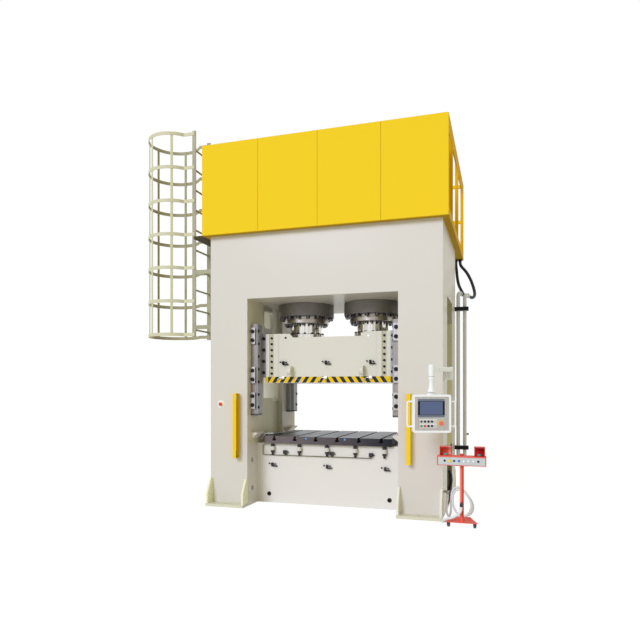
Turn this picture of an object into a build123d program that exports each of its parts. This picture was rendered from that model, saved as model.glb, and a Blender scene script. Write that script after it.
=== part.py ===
from build123d import *
from math import cos, pi, radians, sin, sqrt, tan
import os

os.makedirs("parts", exist_ok=True)

# Straight-side hydraulic press with a guarded power deck, a caged ladder, a
# swinging operator panel and a two-hand control stand. Millimetres.
# X runs to the right, Y to the rear, Z up. The origin is on the floor at the
# centre of the welded frame.

# Welded frame
frame_width = 3380.0
frame_depth = 2010.0
frame_height = 3950.0
column_width = 590.0
window_top = 3010.0
leg_depth = 600.0
inner_recess = 75.0
web_thickness = 60.0
bed_inset = 380.0
bed_top = 890.0
side_window_width = 774.0
side_window_bottom = 1555.0
side_window_top = 2450.0
vent_width = 390.0
vent_bottom = 2670.0
vent_top = 2950.0
side_window_radius = 70.0
drip_plate_low = 860.0
drip_plate_high = 1040.0
drip_plate_thickness = 20.0
bed_hole_diameter = 66.0
bed_hole_height = 130.0
bed_hole_inset = 186.0
lifting_hole_diameter = 80.0
lifting_hole_depth = 60.0
lifting_hole_inset = 181.0
lifting_hole_low = 244.0
lifting_hole_high = 655.0

# Feet
foot_reach = 165.0
foot_thickness = 40.0
gusset_thickness = 28.0
gusset_height = 395.0
gusset_reach = 150.0
gusset_nose = 190.0
gusset_top = 34.0
gusset_hole_diameter = 40.0
gusset_hole_height = 140.0
gusset_hole_reach = 82.0
anchor_hole_diameter = 42.0
anchor_hole_reach = 82.5

# Safety prop shelves on the columns
shelf_reach = 95.0
shelf_length = 300.0
shelf_top = 1060.0
shelf_thickness = 20.0
shelf_rib_height = 75.0

# Bolster
bolster_width = 1920.0
bolster_inset = 315.0
bolster_thickness = 110.0
slot_count = 6
slot_pitch = 323.0
slot_mouth = 36.0
slot_throat = 38.0
slot_head_width = 60.0
slot_head_height = 28.0

# Hold-down bolts of the bolster
clamp_count = 5
clamp_pitch = 423.0
clamp_rod_diameter = 34.0
clamp_rod_bottom = 722.0
clamp_sleeve_diameter = 72.0
clamp_sleeve_clearance = 1.5
clamp_sleeve_low = 790.0
clamp_sleeve_high = 846.0
clamp_nut_across = 52.0
clamp_nut_height = 30.0

# Quick couplings on the bed and the slide
coupling_post_width = 24.0
coupling_post_height = 50.0
coupling_post_depth = 46.0
coupling_bar_length = 86.0
coupling_bar_height = 16.0
coupling_bar_shift = 30.0
coupling_bar_drop = 24.0
coupling_bar_depth = 34.0
coupling_stud_diameter = 20.0
coupling_stud_depth = 26.0
coupling_stud_places = ((-50.0, 12.0), (42.0, 6.0))
bed_coupling_spacing = 854.0
bed_coupling_height = 574.0
slide_coupling_spacing = 655.0
slide_coupling_rise = 205.0

# Air line under the bolster
air_pipe_diameter = 12.0
air_pipe_height = 716.0
air_pipe_reach = 26.0
air_pipe_overhang = 44.0
air_pipe_tuck = 6.0
air_pipe_start_drop = 10.0
air_pipe_corner_drop = 30.0
air_pipe_bend = 20.0
air_block_size = 55.0
air_block_depth = 40.0
air_block_height = 762.0
air_block_places = (-650.0, 70.0, 650.0)
air_tip_diameter = 24.0
air_tip_length = 22.0

# Slide
slide_width = 1880.0
slide_inset = 315.0
slide_bottom = 1790.0
slide_plate_thickness = 90.0
slide_top = 2457.0
slide_crest_rise = 60.0
slide_wall = 50.0
slide_notch_width = 1034.0
slide_notch_chamfer = 50.0
slide_strip_centre = 850.0
slide_strip_width = 70.0
slide_strip_depth = 12.0
slide_seam_centre = 738.0
slide_seam_width = 5.0
slide_seam_depth = 4.0
slide_eye_spacing = 625.0
slide_eye_diameter = 30.0
slide_eye_drop = 62.0
lug_spacing = 540.0
lug_thickness = 56.0
lug_height = 146.0
lug_reach = 120.0
lug_hole_diameter = 35.0
lug_gap = 8.0

# Corner guides of the slide
rail_width = 280.0
rail_front_inset = 125.0
rail_bottom = 1313.0
rail_top = 2652.0
rail_face_inset = 100.0
rail_chamfer = 15.0
guide_bevel = 40.0
guide_clearance = 0.3
shoe_depth = 130.0
shoe_low_gap = 82.0
shoe_rise = 5.0
adjuster_width = 78.0
adjuster_height = 240.0
adjuster_depth = 34.0
adjuster_centres = (1531.0, 1905.0, 2478.0)

# Main cylinders
cylinder_spacing = 1070.0
plunger_diameter = 480.0
slide_travel = 600.0
plunger_engagement = 540.0
plunger_flange_diameter = 570.0
plunger_flange_height = 92.0
gland_diameter = 700.0
gland_height = 105.0
gland_clearance = 0.08
flange_diameter = 870.0
flange_height = 195.0
barrel_diameter = 640.0
barrel_clearance = 1.0
barrel_bore_diameter = 500.0
barrel_rise = 290.0
barrel_cap = 100.0

# Bolt heads
flange_bolt_count = 16
flange_bolt_radius = 394.0
flange_bolt_across = 54.0
flange_bolt_height = 38.0
gland_bolt_count = 18
gland_bolt_radius = 310.0
gland_bolt_across = 43.0
gland_bolt_height = 32.0
plunger_bolt_count = 14
plunger_bolt_radius = 263.0
plunger_bolt_across = 34.0
plunger_bolt_height = 22.0
strip_bolt_count = 7
strip_bolt_low_gap = 50.0
strip_bolt_top_gap = 62.0
strip_bolt_across = 26.0
strip_bolt_height = 14.0
shoe_bolt_count = 4
shoe_bolt_margin = 72.0
shoe_bolt_across = 42.0
shoe_bolt_height = 18.0
adjuster_bolt_pitch = 130.0
adjuster_bolt_across = 46.0
adjuster_bolt_height = 14.0

# Power deck and its guard
deck_overhang = 85.0
deck_front_overhang = 115.0
deck_rear_overhang = 750.0
deck_thickness = 60.0
deck_barrel_clearance = 12.0
guard_height = 1315.0
guard_tube = 50.0
guard_band_height = 220.0
guard_band_thickness = 4.0
guard_panel_count = 4
guard_panel_depth = 28.0
guard_panel_sheet = 3.0
guard_panel_seam = 5.0
right_post_insets = (519.0, 1539.0)
left_post_insets = (855.0, 1795.0)
rear_post_places = (0.0,)
rear_rail_rise = 610.0

# Power pack on the deck
tank_width = 1500.0
tank_depth = 900.0
tank_height = 760.0
tank_rear_gap = 130.0
tank_lid_overhang = 20.0
tank_lid_thickness = 12.0
motor_spacing = 2200.0
motor_diameter = 380.0
motor_length = 620.0
motor_place = 420.0
motor_axis_height = 320.0
motor_foot_width = 300.0
motor_foot_length = 500.0
motor_foot_bite = 90.0
pump_diameter = 200.0
pump_length = 260.0
bell_diameter = 260.0
bell_length = 150.0
fill_pipe_diameter = 168.0
fill_pipe_rise = 550.0
fill_pipe_bend = 180.0
valve_block_width = 620.0
valve_block_depth = 320.0
valve_block_height = 380.0
valve_block_place = -680.0
valve_count = 4
valve_diameter = 90.0
valve_height = 130.0
pressure_pipe_gap = 0.3

# Ladder and cage
ladder_standoff = 368.0
ladder_front_inset = 395.0
ladder_width = 450.0
ladder_length = 3156.0
ladder_rise = 1628.0
stringer_depth = 60.0
stringer_thickness = 14.0
rung_diameter = 28.0
rung_pitch = 306.0
rung_first = 120.0
ladder_bracket_rises = (158.0, 998.0)
ladder_bracket_width = 60.0
ladder_bracket_thickness = 12.0
cage_radius = 400.0
cage_reach = 882.0
cage_flare = 130.0
hoop_count = 7
hoop_pitch = 510.0
hoop_start = 26.0
hoop_width = 50.0
hoop_thickness = 8.0
strap_width = 40.0
strap_thickness = 7.0
strap_angles = (-90.0, -45.0, 0.0, 45.0, 90.0)
landing_width = 600.0
landing_thickness = 40.0

# Light curtain guards
curtain_width = 54.0
curtain_depth = 115.0
curtain_sheet = 4.0
curtain_bottom = 700.0
curtain_top = 1635.0
curtain_inset = 437.0
sensor_width = 36.0
sensor_depth = 30.0
sensor_margin = 40.0

# Emergency stop on the left column
column_stop_inset = 170.0
column_stop_height = 1478.0
column_stop_plate = 82.0
column_stop_plate_depth = 16.0
column_stop_head = 46.0

# Rigid pipes beside the right column
pipe_diameter = 60.0
pipe_offsets = (52.0, 155.0)
pipe_rear_inset = 30.0
pipe_bottom = 510.0
pipe_bend = 60.0
inner_elbow_drop = 680.0
outer_elbow_drop = 715.0
lower_clamp_height = 751.0
upper_clamp_drop = 950.0
pipe_clamp_height = 60.0
pipe_clamp_depth = 96.0
pipe_clamp_clearance = 0.2

# Hoses
hose_diameter = 50.0
hose_fitting_diameter = 62.0
hose_fitting_length = 36.0
pipe_fitting_across = 70.0
conduit_diameter = 28.0
conduit_gland_diameter = 40.0
conduit_gland_length = 30.0
conduit_elbow_diameter = 34.0

# Operator panel on its swinging arm
panel_turn = 17.5
pivot_offset = 77.0
pivot_front_inset = 231.0
arm_height = 1954.0
arm_tube = 68.0
hanger_inset = 72.0
hanger_front = 665.0
pivot_pin_diameter = 36.0
pivot_pin_length = 88.0
pivot_hub_diameter = 72.0
pivot_cap_rim = 6.0
pivot_housing_height = 95.0
running_clearance = 0.08
axial_clearance = 0.3
hanger_socket_length = 70.0
hanger_socket_rim = 6.0
hanger_tube = 54.0
hanger_collar_diameter = 72.0
hanger_spigot_diameter = 30.0
hanger_spigot_length = 60.0
hanger_collar_height = 34.0
bracket_width = 120.0
bracket_height = 150.0
bracket_corner = 12.0
bracket_plate = 12.0
bracket_web = 52.0
panel_width = 460.0
panel_height = 457.0
panel_depth = 95.0
panel_bottom = 1176.0
panel_corner = 26.0
panel_face_margin = 26.0
panel_face_depth = 3.0
panel_face_recess = 6.0
panel_column_count = 5
panel_column_low = -127.0
panel_column_high = 41.0
panel_rows = (-94.0, -148.0)
panel_stop_place = (109.0, -116.0)
panel_stop_head = 50.0
screen_width = 320.0
screen_height = 217.0
screen_shift = -8.0
screen_rise = 66.0
screen_depth = 8.0
screen_bezel = 22.0
screen_corner = 10.0
screen_sink = 3.0
panel_flange_diameter = 110.0
panel_flange_height = 14.0
handle_diameter = 20.0
handle_length = 300.0
handle_reach = 60.0
handle_drop = 5.0
handle_bend = 18.0

# Two-hand control stand
stand_offset = 266.0
stand_front = 460.0
stand_box_width = 580.0
stand_box_height = 112.0
stand_box_depth = 150.0
stand_box_top = 877.0
stand_post_diameter = 50.0
stand_guard_top = 990.0
stand_guard_width = 130.0
stand_guard_insets = (28.0, 14.0)
stand_lip = 8.0
stand_lip_thickness = 8.0
stand_guard_sheet = 4.0
stand_head_width = 160.0
stand_head_thickness = 6.0
stand_column_count = 8
stand_column_reach = 200.0
stand_stop_head = 40.0
palm_head = 52.0
stand_plate_thickness = 8.0
stand_plate_front = 390.0
stand_plate_rear = 170.0
stand_plate_depth = 350.0
castor_height = 63.0
castor_spacing = 315.0
castor_front_inset = 38.0
castor_rear_inset = 42.0
castor_wheel_diameter = 50.0
castor_wheel_width = 30.0
castor_trail = 16.0
castor_cheek = 4.0
castor_axle_diameter = 8.0
castor_fork_length = 46.0
castor_pin_diameter = 10.0
castor_fork_plate = 5.0
castor_wheel_gap = 1.0

# Push buttons, knobs and mushroom heads
button_diameter = 27.0
button_height = 12.0
button_travel = 4.0
knob_height = 16.0
mushroom_height = 26.0
mushroom_gap = 1.0
knob_rim = 2.0
spigot_end_gap = 1.0
bezel_ring = 5.0
bezel_height = 5.0
bezel_clearance = 0.4

# Values worked out from the sizes above
half_width = frame_width / 2
half_depth = frame_depth / 2
front_face = -half_depth
window_width = frame_width - 2 * column_width
half_window = window_width / 2
column_centre = half_width - column_width / 2
recess_length = frame_depth - 2 * leg_depth
bed_depth = frame_depth - 2 * bed_inset
bed_front = -bed_depth / 2
bolster_top = bed_top + bolster_thickness
bolster_depth = frame_depth - 2 * bolster_inset
bolster_front = -bolster_depth / 2
slide_depth = frame_depth - 2 * slide_inset
slide_front = -slide_depth / 2
slide_body_bottom = slide_bottom + slide_plate_thickness
slide_crest = slide_top + slide_crest_rise
slide_coupling_height = slide_body_bottom + slide_coupling_rise
strip_bolt_low = slide_body_bottom + strip_bolt_low_gap
strip_bolt_high = slide_crest - strip_bolt_top_gap
shoe_bottom = slide_bottom + shoe_low_gap
shoe_top = slide_crest + shoe_rise
deck_top = frame_height + deck_thickness
guard_top = frame_height + guard_height
barrel_top = deck_top + barrel_rise
fill_pipe_height = deck_top + fill_pipe_rise
rear_rail_height = deck_top + rear_rail_rise
deck_right = half_width + deck_overhang
deck_front = front_face - deck_front_overhang
deck_rear = half_depth + deck_rear_overhang
ladder_face = -half_width - ladder_standoff
ladder_centre = front_face + ladder_front_inset
ladder_top = deck_top + ladder_rise
ladder_bottom = ladder_top - ladder_length
hoop_first = ladder_bottom + hoop_start
cylinder_half = cylinder_spacing / 2
flange_bottom = window_top - flange_height
gland_bottom = flange_bottom - gland_height
plunger_flange_top = slide_top + plunger_flange_height
plunger_top = gland_bottom + slide_travel + plunger_engagement


def write_piece(piece, name):
    """Label one finished piece and write it to its own file."""
    piece.part.label = name
    export_step(piece.part, f"parts/{name}.step")


def block(low, high):
    """A box between two corners."""
    size = [high[axis] - low[axis] for axis in range(3)]
    centre = [(high[axis] + low[axis]) / 2 for axis in range(3)]
    return Pos(*centre) * Box(*size, mode=Mode.PRIVATE)


def hex_heads(plane, places, across, height):
    """Hexagon bolt heads that stand on a plane at the given places."""
    with BuildPart(mode=Mode.PRIVATE) as heads:
        with BuildSketch(plane):
            with Locations(*places):
                RegularPolygon(across / 2, 6, major_radius=False)
        extrude(amount=height)
    return heads.part


def spread(count, low, high):
    """Evenly spaced values from low to high."""
    return [low + (high - low) * index / (count - 1) for index in range(count)]


def circle_places(count, radius):
    """Places on a bolt circle."""
    step = 360 / count
    return [
        (radius * cos(radians(index * step)), radius * sin(radians(index * step)))
        for index in range(count)
    ]


def front_plane(y, x=0.0, z=0.0):
    """A plane that faces the front, with its local y upwards."""
    return Plane(origin=(x, y, z), x_dir=(1, 0, 0), z_dir=(0, -1, 0))


def end_plane(end, reach):
    """A plane that faces the front (end -1) or the rear (end 1), with its local y upwards."""
    return Plane(origin=(0, end * reach, 0), x_dir=(-end, 0, 0), z_dir=(0, end, 0))


def quick_couplings(plane, places):
    """Quick couplings: a valve post, the bar of its lever and two plug studs each."""
    with BuildPart(mode=Mode.PRIVATE) as couplings:
        with BuildSketch(plane):
            with Locations(*places):
                Rectangle(coupling_post_width, coupling_post_height)
        extrude(amount=coupling_post_depth)
        with BuildSketch(plane):
            with Locations(*[(x + coupling_bar_shift, y - coupling_bar_drop) for x, y in places]):
                Rectangle(coupling_bar_length, coupling_bar_height)
        extrude(amount=coupling_bar_depth)
        with BuildSketch(plane):
            with Locations(*[(x + dx, y + dy) for x, y in places for dx, dy in coupling_stud_places]):
                Circle(coupling_stud_diameter / 2)
        extrude(amount=coupling_stud_depth)
    return couplings.part


def bend_radii(points):
    """The radius of each corner of a hose, as large as its two runs allow."""
    corners = []
    for before, here, after in zip(points, points[1:], points[2:]):
        arriving = Vector(*here) - Vector(*before)
        leaving = Vector(*after) - Vector(*here)
        turn = arriving.get_angle(leaving)
        shorter = min(arriving.length, leaving.length)
        corners.append(0.45 * shorter / tan(radians(turn) / 2))
    return corners


def tube(points, radii, diameter):
    """A round bar, pipe or hose along straight runs and tangent arcs."""
    with BuildPart(mode=Mode.PRIVATE) as swept:
        with BuildLine() as route:
            FilletPolyline(*points, radius=radii)
        with BuildSketch(Plane(origin=points[0], z_dir=Vector(*points[1]) - Vector(*points[0]))):
            Circle(diameter / 2)
        sweep(path=route.line)
    return swept.part


def hose(points, diameter, name):
    """A hose through the points, with its radii and length printed."""
    radii = bend_radii(points)
    body = tube(points, radii, diameter)
    length = body.volume / (pi * diameter**2 / 4)
    print(name, "radii", [round(radius) for radius in radii], "length", round(length))
    return body


# Frame: two columns, crown and bed welded into one piece
with BuildPart() as frame:
    with BuildSketch(Plane.XZ.offset(half_depth)):
        with Locations((0, frame_height / 2)):
            Rectangle(frame_width, frame_height)
        with Locations((0, window_top / 2)):
            Rectangle(window_width, window_top, mode=Mode.SUBTRACT)
    extrude(amount=-frame_depth)
    with BuildSketch(Plane.XY):
        Rectangle(window_width, bed_depth)
    extrude(amount=bed_top)
    outer_recess = column_width - inner_recess - web_thickness
    for side in (-1, 1):
        with BuildSketch(Plane.XY.offset(foot_thickness)):
            with Locations((side * (half_width - outer_recess / 2), 0)):
                Rectangle(outer_recess, recess_length)
        extrude(amount=window_top - foot_thickness, mode=Mode.SUBTRACT)
        with BuildSketch(Plane.XY.offset(bed_top)):
            with Locations((side * (half_window + inner_recess / 2), 0)):
                Rectangle(inner_recess, recess_length)
        extrude(amount=window_top - bed_top, mode=Mode.SUBTRACT)
        # Sloping drip plate that closes the recess above the bed
        with BuildSketch(Plane.XZ.offset(recess_length / 2)):
            with BuildLine():
                Polyline(
                    (side * (half_width - outer_recess), drip_plate_high),
                    (side * (half_width - drip_plate_thickness), drip_plate_low),
                    (side * (half_width - drip_plate_thickness), drip_plate_low - drip_plate_thickness),
                    (side * (half_width - outer_recess), drip_plate_high - drip_plate_thickness),
                    close=True,
                )
            make_face()
        extrude(amount=-recess_length)
    # Side windows through both webs
    with BuildSketch(Plane.YZ.offset(-half_width)):
        with Locations((0, (side_window_bottom + side_window_top) / 2)):
            RectangleRounded(side_window_width, side_window_top - side_window_bottom, side_window_radius)
        with Locations((0, (vent_bottom + vent_top) / 2)):
            RectangleRounded(vent_width, vent_top - vent_bottom, side_window_radius)
    extrude(amount=frame_width, mode=Mode.SUBTRACT)
    # Bores for the two main cylinders
    with BuildSketch(Plane.XY.offset(window_top)):
        with GridLocations(cylinder_spacing, 1, 2, 1):
            Circle(barrel_diameter / 2 + barrel_clearance)
    extrude(amount=frame_height - window_top, mode=Mode.SUBTRACT)
    # Base plates with their anchor holes
    with BuildSketch(Plane.XY):
        with GridLocations(2 * column_centre, 1, 2, 1):
            Rectangle(column_width, frame_depth + 2 * foot_reach)
        with GridLocations(2 * column_centre, frame_depth + 2 * anchor_hole_reach, 2, 2):
            Circle(anchor_hole_diameter / 2, mode=Mode.SUBTRACT)
    extrude(amount=foot_thickness)
    # Foot gussets at both edges of each column, front and rear
    for end in (-1, 1):
        for side in (-1, 1):
            for edge in (-1, 1):
                plate_x = side * column_centre + edge * (column_width - gusset_thickness) / 2
                with BuildSketch(Plane.YZ.offset(plate_x - gusset_thickness / 2)):
                    with BuildLine():
                        Polyline(
                            (end * half_depth, foot_thickness),
                            (end * (half_depth + gusset_reach), foot_thickness),
                            (end * (half_depth + gusset_reach), gusset_nose),
                            (end * (half_depth + gusset_top), gusset_height),
                            (end * half_depth, gusset_height),
                            close=True,
                        )
                    make_face()
                    with Locations((end * (half_depth + gusset_hole_reach), gusset_hole_height)):
                        Circle(gusset_hole_diameter / 2, mode=Mode.SUBTRACT)
                extrude(amount=gusset_thickness)
    # Round holes in the bed front and in the columns' inner faces
    with BuildSketch(front_plane(bed_front)):
        with GridLocations(window_width - 2 * bed_hole_inset, 1, 2, 1):
            with Locations((0, bed_hole_height)):
                Circle(bed_hole_diameter / 2)
    extrude(amount=-lifting_hole_depth, mode=Mode.SUBTRACT)
    with BuildSketch(Plane.YZ.offset(-half_window - lifting_hole_depth)):
        for height in (lifting_hole_low, lifting_hole_high):
            with Locations((front_face + lifting_hole_inset, height)):
                Circle(lifting_hole_diameter / 2)
    extrude(amount=window_width + 2 * lifting_hole_depth, mode=Mode.SUBTRACT)
    # Shelves that the safety props stand on
    for side in (-1, 1):
        for end in (-1, 1):
            centre_y = end * (half_depth - rail_front_inset - shelf_length / 2)
            with BuildSketch(front_plane(centre_y - shelf_length / 2)):
                with BuildLine():
                    Polyline(
                        (side * half_window, shelf_top),
                        (side * (half_window - shelf_reach), shelf_top),
                        (side * (half_window - shelf_reach), shelf_top - shelf_thickness),
                        (side * half_window, shelf_top - shelf_thickness - shelf_rib_height),
                        close=True,
                    )
                make_face()
            extrude(amount=-shelf_length)
    # Sleeves of the bolster's hold-down bolts
    clamp_y = (bed_front + bolster_front) / 2
    clamp_places = [(x, clamp_y) for x in spread(clamp_count, -2 * clamp_pitch, 2 * clamp_pitch)]
    with BuildSketch(Plane.XY.offset(clamp_sleeve_low)):
        with Locations(*clamp_places):
            Circle(clamp_sleeve_diameter / 2)
    extrude(amount=clamp_sleeve_high - clamp_sleeve_low)
    with BuildSketch(Plane.XY.offset(clamp_sleeve_low)):
        with Locations(*clamp_places):
            Circle(clamp_rod_diameter / 2 + clamp_sleeve_clearance)
    extrude(amount=clamp_sleeve_high - clamp_sleeve_low, mode=Mode.SUBTRACT)
write_piece(frame, "frame")

# Bolster: a thick plate with T-slots from front to back
with BuildPart() as bolster:
    with BuildSketch(Plane.XY.offset(bed_top)):
        Rectangle(bolster_width, bolster_depth)
    extrude(amount=bolster_thickness)
    with BuildSketch(front_plane(bolster_front, z=bolster_top)):
        for x in spread(slot_count, -slot_pitch * (slot_count - 1) / 2, slot_pitch * (slot_count - 1) / 2):
            with Locations((x, -slot_throat / 2)):
                Rectangle(slot_mouth, slot_throat)
            with Locations((x, -slot_throat - slot_head_height / 2)):
                Rectangle(slot_head_width, slot_head_height)
    extrude(amount=-bolster_depth, mode=Mode.SUBTRACT)
write_piece(bolster, "bolster")

# Air line along the bed with its three blocks
with BuildPart() as air_line:
    air_pipe_y = bed_front - air_pipe_reach
    air_pipe_end_x = -bolster_width / 2 - air_pipe_overhang
    air_pipe_route = [
        (-bolster_width / 2 + air_pipe_tuck, air_pipe_y, bed_top - air_pipe_start_drop),
        (air_pipe_end_x, air_pipe_y, bed_top - air_pipe_corner_drop),
        (air_pipe_end_x, air_pipe_y, air_pipe_height),
        (air_block_places[-1], air_pipe_y, air_pipe_height),
    ]
    add(tube(air_pipe_route, air_pipe_bend, air_pipe_diameter))
    with BuildSketch(front_plane(bed_front)):
        for x in air_block_places:
            with Locations((x, air_block_height)):
                Rectangle(air_block_size, air_block_size)
    extrude(amount=air_block_depth)
    with BuildSketch(front_plane(bed_front)):
        for x in air_block_places:
            with Locations((x, (air_block_height + air_pipe_height) / 2)):
                Rectangle(air_pipe_diameter, air_block_height - air_pipe_height)
    extrude(amount=air_block_depth)
    for x in air_block_places:
        with BuildSketch(Plane.YZ.offset(x + air_block_size / 2)):
            with Locations((bed_front - air_block_depth / 2, air_block_height)):
                Circle(air_tip_diameter / 2)
        extrude(amount=air_tip_length)

# Hold-down bolts of the bolster, the quick couplings on the bed and the air line
with BuildPart() as bed_fittings:
    add(air_line.part)
    with BuildSketch(Plane.XY.offset(clamp_rod_bottom)):
        with Locations(*clamp_places):
            Circle(clamp_rod_diameter / 2)
    extrude(amount=bed_top - clamp_rod_bottom)
    for level in (clamp_sleeve_low - clamp_nut_height, clamp_sleeve_high):
        add(hex_heads(Plane.XY.offset(level), clamp_places, clamp_nut_across, clamp_nut_height))
    add(quick_couplings(
        front_plane(bed_front),
        [(x, bed_coupling_height) for x in (-bed_coupling_spacing, 0, bed_coupling_spacing)],
    ))
write_piece(bed_fittings, "bed_fittings")

# Corner rails on the columns, bevelled to face the slide's shoes
rail_front_y = front_face + rail_front_inset
rail_face_x = half_window - rail_face_inset
rail_back_x = rail_face_x + guide_bevel
rail_step_y = slide_front + guide_bevel
rail_outline = [
    (half_window, rail_front_y),
    (rail_face_x + rail_chamfer, rail_front_y),
    (rail_face_x, rail_front_y + rail_chamfer),
    (rail_face_x, slide_front),
    (rail_back_x, rail_step_y),
    (rail_back_x, rail_front_y + rail_width),
    (half_window, rail_front_y + rail_width),
]

# Adjusting blocks on the rails, with their bolts
with BuildPart() as guide_adjusters:
    for end in (-1, 1):
        face = end_plane(end, -rail_front_y)
        block_x = (half_window + rail_face_x + rail_chamfer) / 2
        places = [(side * block_x, z) for side in (-1, 1) for z in adjuster_centres]
        with BuildSketch(face):
            with Locations(*places):
                Rectangle(adjuster_width, adjuster_height)
        extrude(amount=adjuster_depth)
        half_pitch = adjuster_bolt_pitch / 2
        bolt_places = [(x, y + step) for x, y in places for step in (-half_pitch, half_pitch)]
        add(hex_heads(face.offset(adjuster_depth), bolt_places, adjuster_bolt_across, adjuster_bolt_height))

# The four rails with their adjusting blocks
with BuildPart() as guide_rails:
    add(guide_adjusters.part)
    for side in (-1, 1):
        for end in (-1, 1):
            with BuildSketch(Plane.XY.offset(rail_bottom)):
                with BuildLine():
                    Polyline(*[(side * x, -end * y) for x, y in rail_outline], close=True)
                make_face()
            extrude(amount=rail_top - rail_bottom)
write_piece(guide_rails, "guide_rails")

# Slide: welded box with a notched crest plate at the front and the rear
with BuildPart() as slide:
    with BuildSketch(Plane.XY.offset(slide_body_bottom)):
        Rectangle(slide_width, slide_depth)
    extrude(amount=slide_top - slide_body_bottom)
    crest = slide_crest - slide_top
    for end in (-1, 1):
        with BuildSketch(front_plane(end * slide_depth / 2, z=slide_top)):
            with BuildLine():
                Polyline(
                    (-slide_width / 2, 0),
                    (-slide_width / 2, crest),
                    (-slide_notch_width / 2 - slide_notch_chamfer, crest),
                    (-slide_notch_width / 2, 0),
                    close=True,
                )
            make_face()
            mirror(about=Plane.YZ)
        extrude(amount=end * slide_wall)
    for end in (-1, 1):
        face = end_plane(end, slide_depth / 2)
        body_height = slide_crest - slide_body_bottom
        mid_height = (slide_crest + slide_body_bottom) / 2
        with BuildSketch(face):
            with Locations((-slide_strip_centre, mid_height), (slide_strip_centre, mid_height)):
                Rectangle(slide_strip_width, body_height)
        extrude(amount=-slide_strip_depth, mode=Mode.SUBTRACT)
        with BuildSketch(face):
            with Locations((-slide_seam_centre, mid_height), (slide_seam_centre, mid_height)):
                Rectangle(slide_seam_width, body_height)
        extrude(amount=-slide_seam_depth, mode=Mode.SUBTRACT)
        eye_height = slide_crest - slide_eye_drop
        with BuildSketch(face):
            with Locations((-slide_eye_spacing, eye_height), (slide_eye_spacing, eye_height)):
                Circle(slide_eye_diameter / 2)
        extrude(amount=-slide_wall, mode=Mode.SUBTRACT)
    # Lifting lugs just above the plate
    for x in (-lug_spacing, lug_spacing):
        with BuildSketch(Plane.YZ.offset(x - lug_thickness / 2)):
            lug_low = slide_body_bottom + lug_gap
            lug_middle = lug_low + lug_height / 2
            with Locations((slide_front - (lug_reach - lug_height / 4) / 2, lug_middle)):
                Rectangle(lug_reach - lug_height / 4, lug_height)
            with Locations((slide_front - lug_reach + lug_height / 2, lug_middle)):
                Circle(lug_height / 2)
            with Locations((slide_front - lug_reach + lug_height / 2, lug_middle)):
                Circle(lug_hole_diameter / 2, mode=Mode.SUBTRACT)
        extrude(amount=lug_thickness)
write_piece(slide, "slide")

# Plate under the slide that carries the upper die
with BuildPart() as slide_plate:
    with BuildSketch(Plane.XY.offset(slide_bottom)):
        Rectangle(slide_width, slide_depth)
    extrude(amount=slide_plate_thickness)
write_piece(slide_plate, "slide_plate")

# Bevelled shoes that run on the rails
shoe_shift = guide_clearance * sqrt(2)
shoe_outline = [
    (slide_width / 2, slide_front),
    (rail_face_x - shoe_shift, slide_front),
    (rail_back_x - shoe_shift, rail_step_y),
    (rail_back_x - shoe_shift, slide_front + shoe_depth),
    (slide_width / 2, slide_front + shoe_depth),
]
with BuildPart() as slide_shoes:
    for side in (-1, 1):
        for end in (-1, 1):
            with BuildSketch(Plane.XY.offset(shoe_bottom)):
                with BuildLine():
                    Polyline(*[(side * x, -end * y) for x, y in shoe_outline], close=True)
                make_face()
            extrude(amount=shoe_top - shoe_bottom)
write_piece(slide_shoes, "slide_shoes")

# Bolt heads and quick couplings that ride on the slide
with BuildPart() as slide_fittings:
    for end in (-1, 1):
        face = end_plane(end, slide_depth / 2)
        strip_places = [
            (side * slide_strip_centre, z)
            for side in (-1, 1)
            for z in spread(strip_bolt_count, strip_bolt_low, strip_bolt_high)
        ]
        add(hex_heads(face.offset(-slide_strip_depth), strip_places, strip_bolt_across, strip_bolt_height))
        shoe_x = (slide_width / 2 + rail_face_x) / 2
        shoe_places = [
            (side * shoe_x, z)
            for side in (-1, 1)
            for z in spread(shoe_bolt_count, shoe_bottom + shoe_bolt_margin, shoe_top - shoe_bolt_margin)
        ]
        add(hex_heads(face, shoe_places, shoe_bolt_across, shoe_bolt_height))
    for side in (-1, 1):
        ring = Plane.XY.offset(plunger_flange_top)
        circle = circle_places(plunger_bolt_count, plunger_bolt_radius)
        places = [(side * cylinder_half + x, y) for x, y in circle]
        add(hex_heads(ring, places, plunger_bolt_across, plunger_bolt_height))
    add(quick_couplings(
        front_plane(slide_front),
        [(x, slide_coupling_height) for x in (-slide_coupling_spacing, 0, slide_coupling_spacing)],
    ))
write_piece(slide_fittings, "slide_fittings")

# Ground plungers with the flanges that bolt to the slide
with BuildPart() as plungers:
    with BuildSketch(Plane.XY.offset(slide_top)):
        with GridLocations(cylinder_spacing, 1, 2, 1):
            Circle(plunger_flange_diameter / 2)
    extrude(amount=plunger_flange_height)
    with BuildSketch(Plane.XY.offset(plunger_flange_top)):
        with GridLocations(cylinder_spacing, 1, 2, 1):
            Circle(plunger_diameter / 2)
    extrude(amount=plunger_top - plunger_flange_top)
write_piece(plungers, "plungers")

# Cylinder barrels, held under the crown by their flanges
with BuildPart() as cylinders:
    for side in (-1, 1):
        with BuildSketch(front_plane(0, side * cylinder_half)):
            with BuildLine():
                Polyline(
                    (barrel_bore_diameter / 2, flange_bottom),
                    (flange_diameter / 2, flange_bottom),
                    (flange_diameter / 2, window_top),
                    (barrel_diameter / 2, window_top),
                    (barrel_diameter / 2, barrel_top),
                    (0, barrel_top),
                    (0, barrel_top - barrel_cap),
                    (barrel_bore_diameter / 2, barrel_top - barrel_cap),
                    close=True,
                )
            make_face()
        revolve(axis=Axis((side * cylinder_half, 0, 0), (0, 0, 1)))
write_piece(cylinders, "cylinders")

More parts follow.
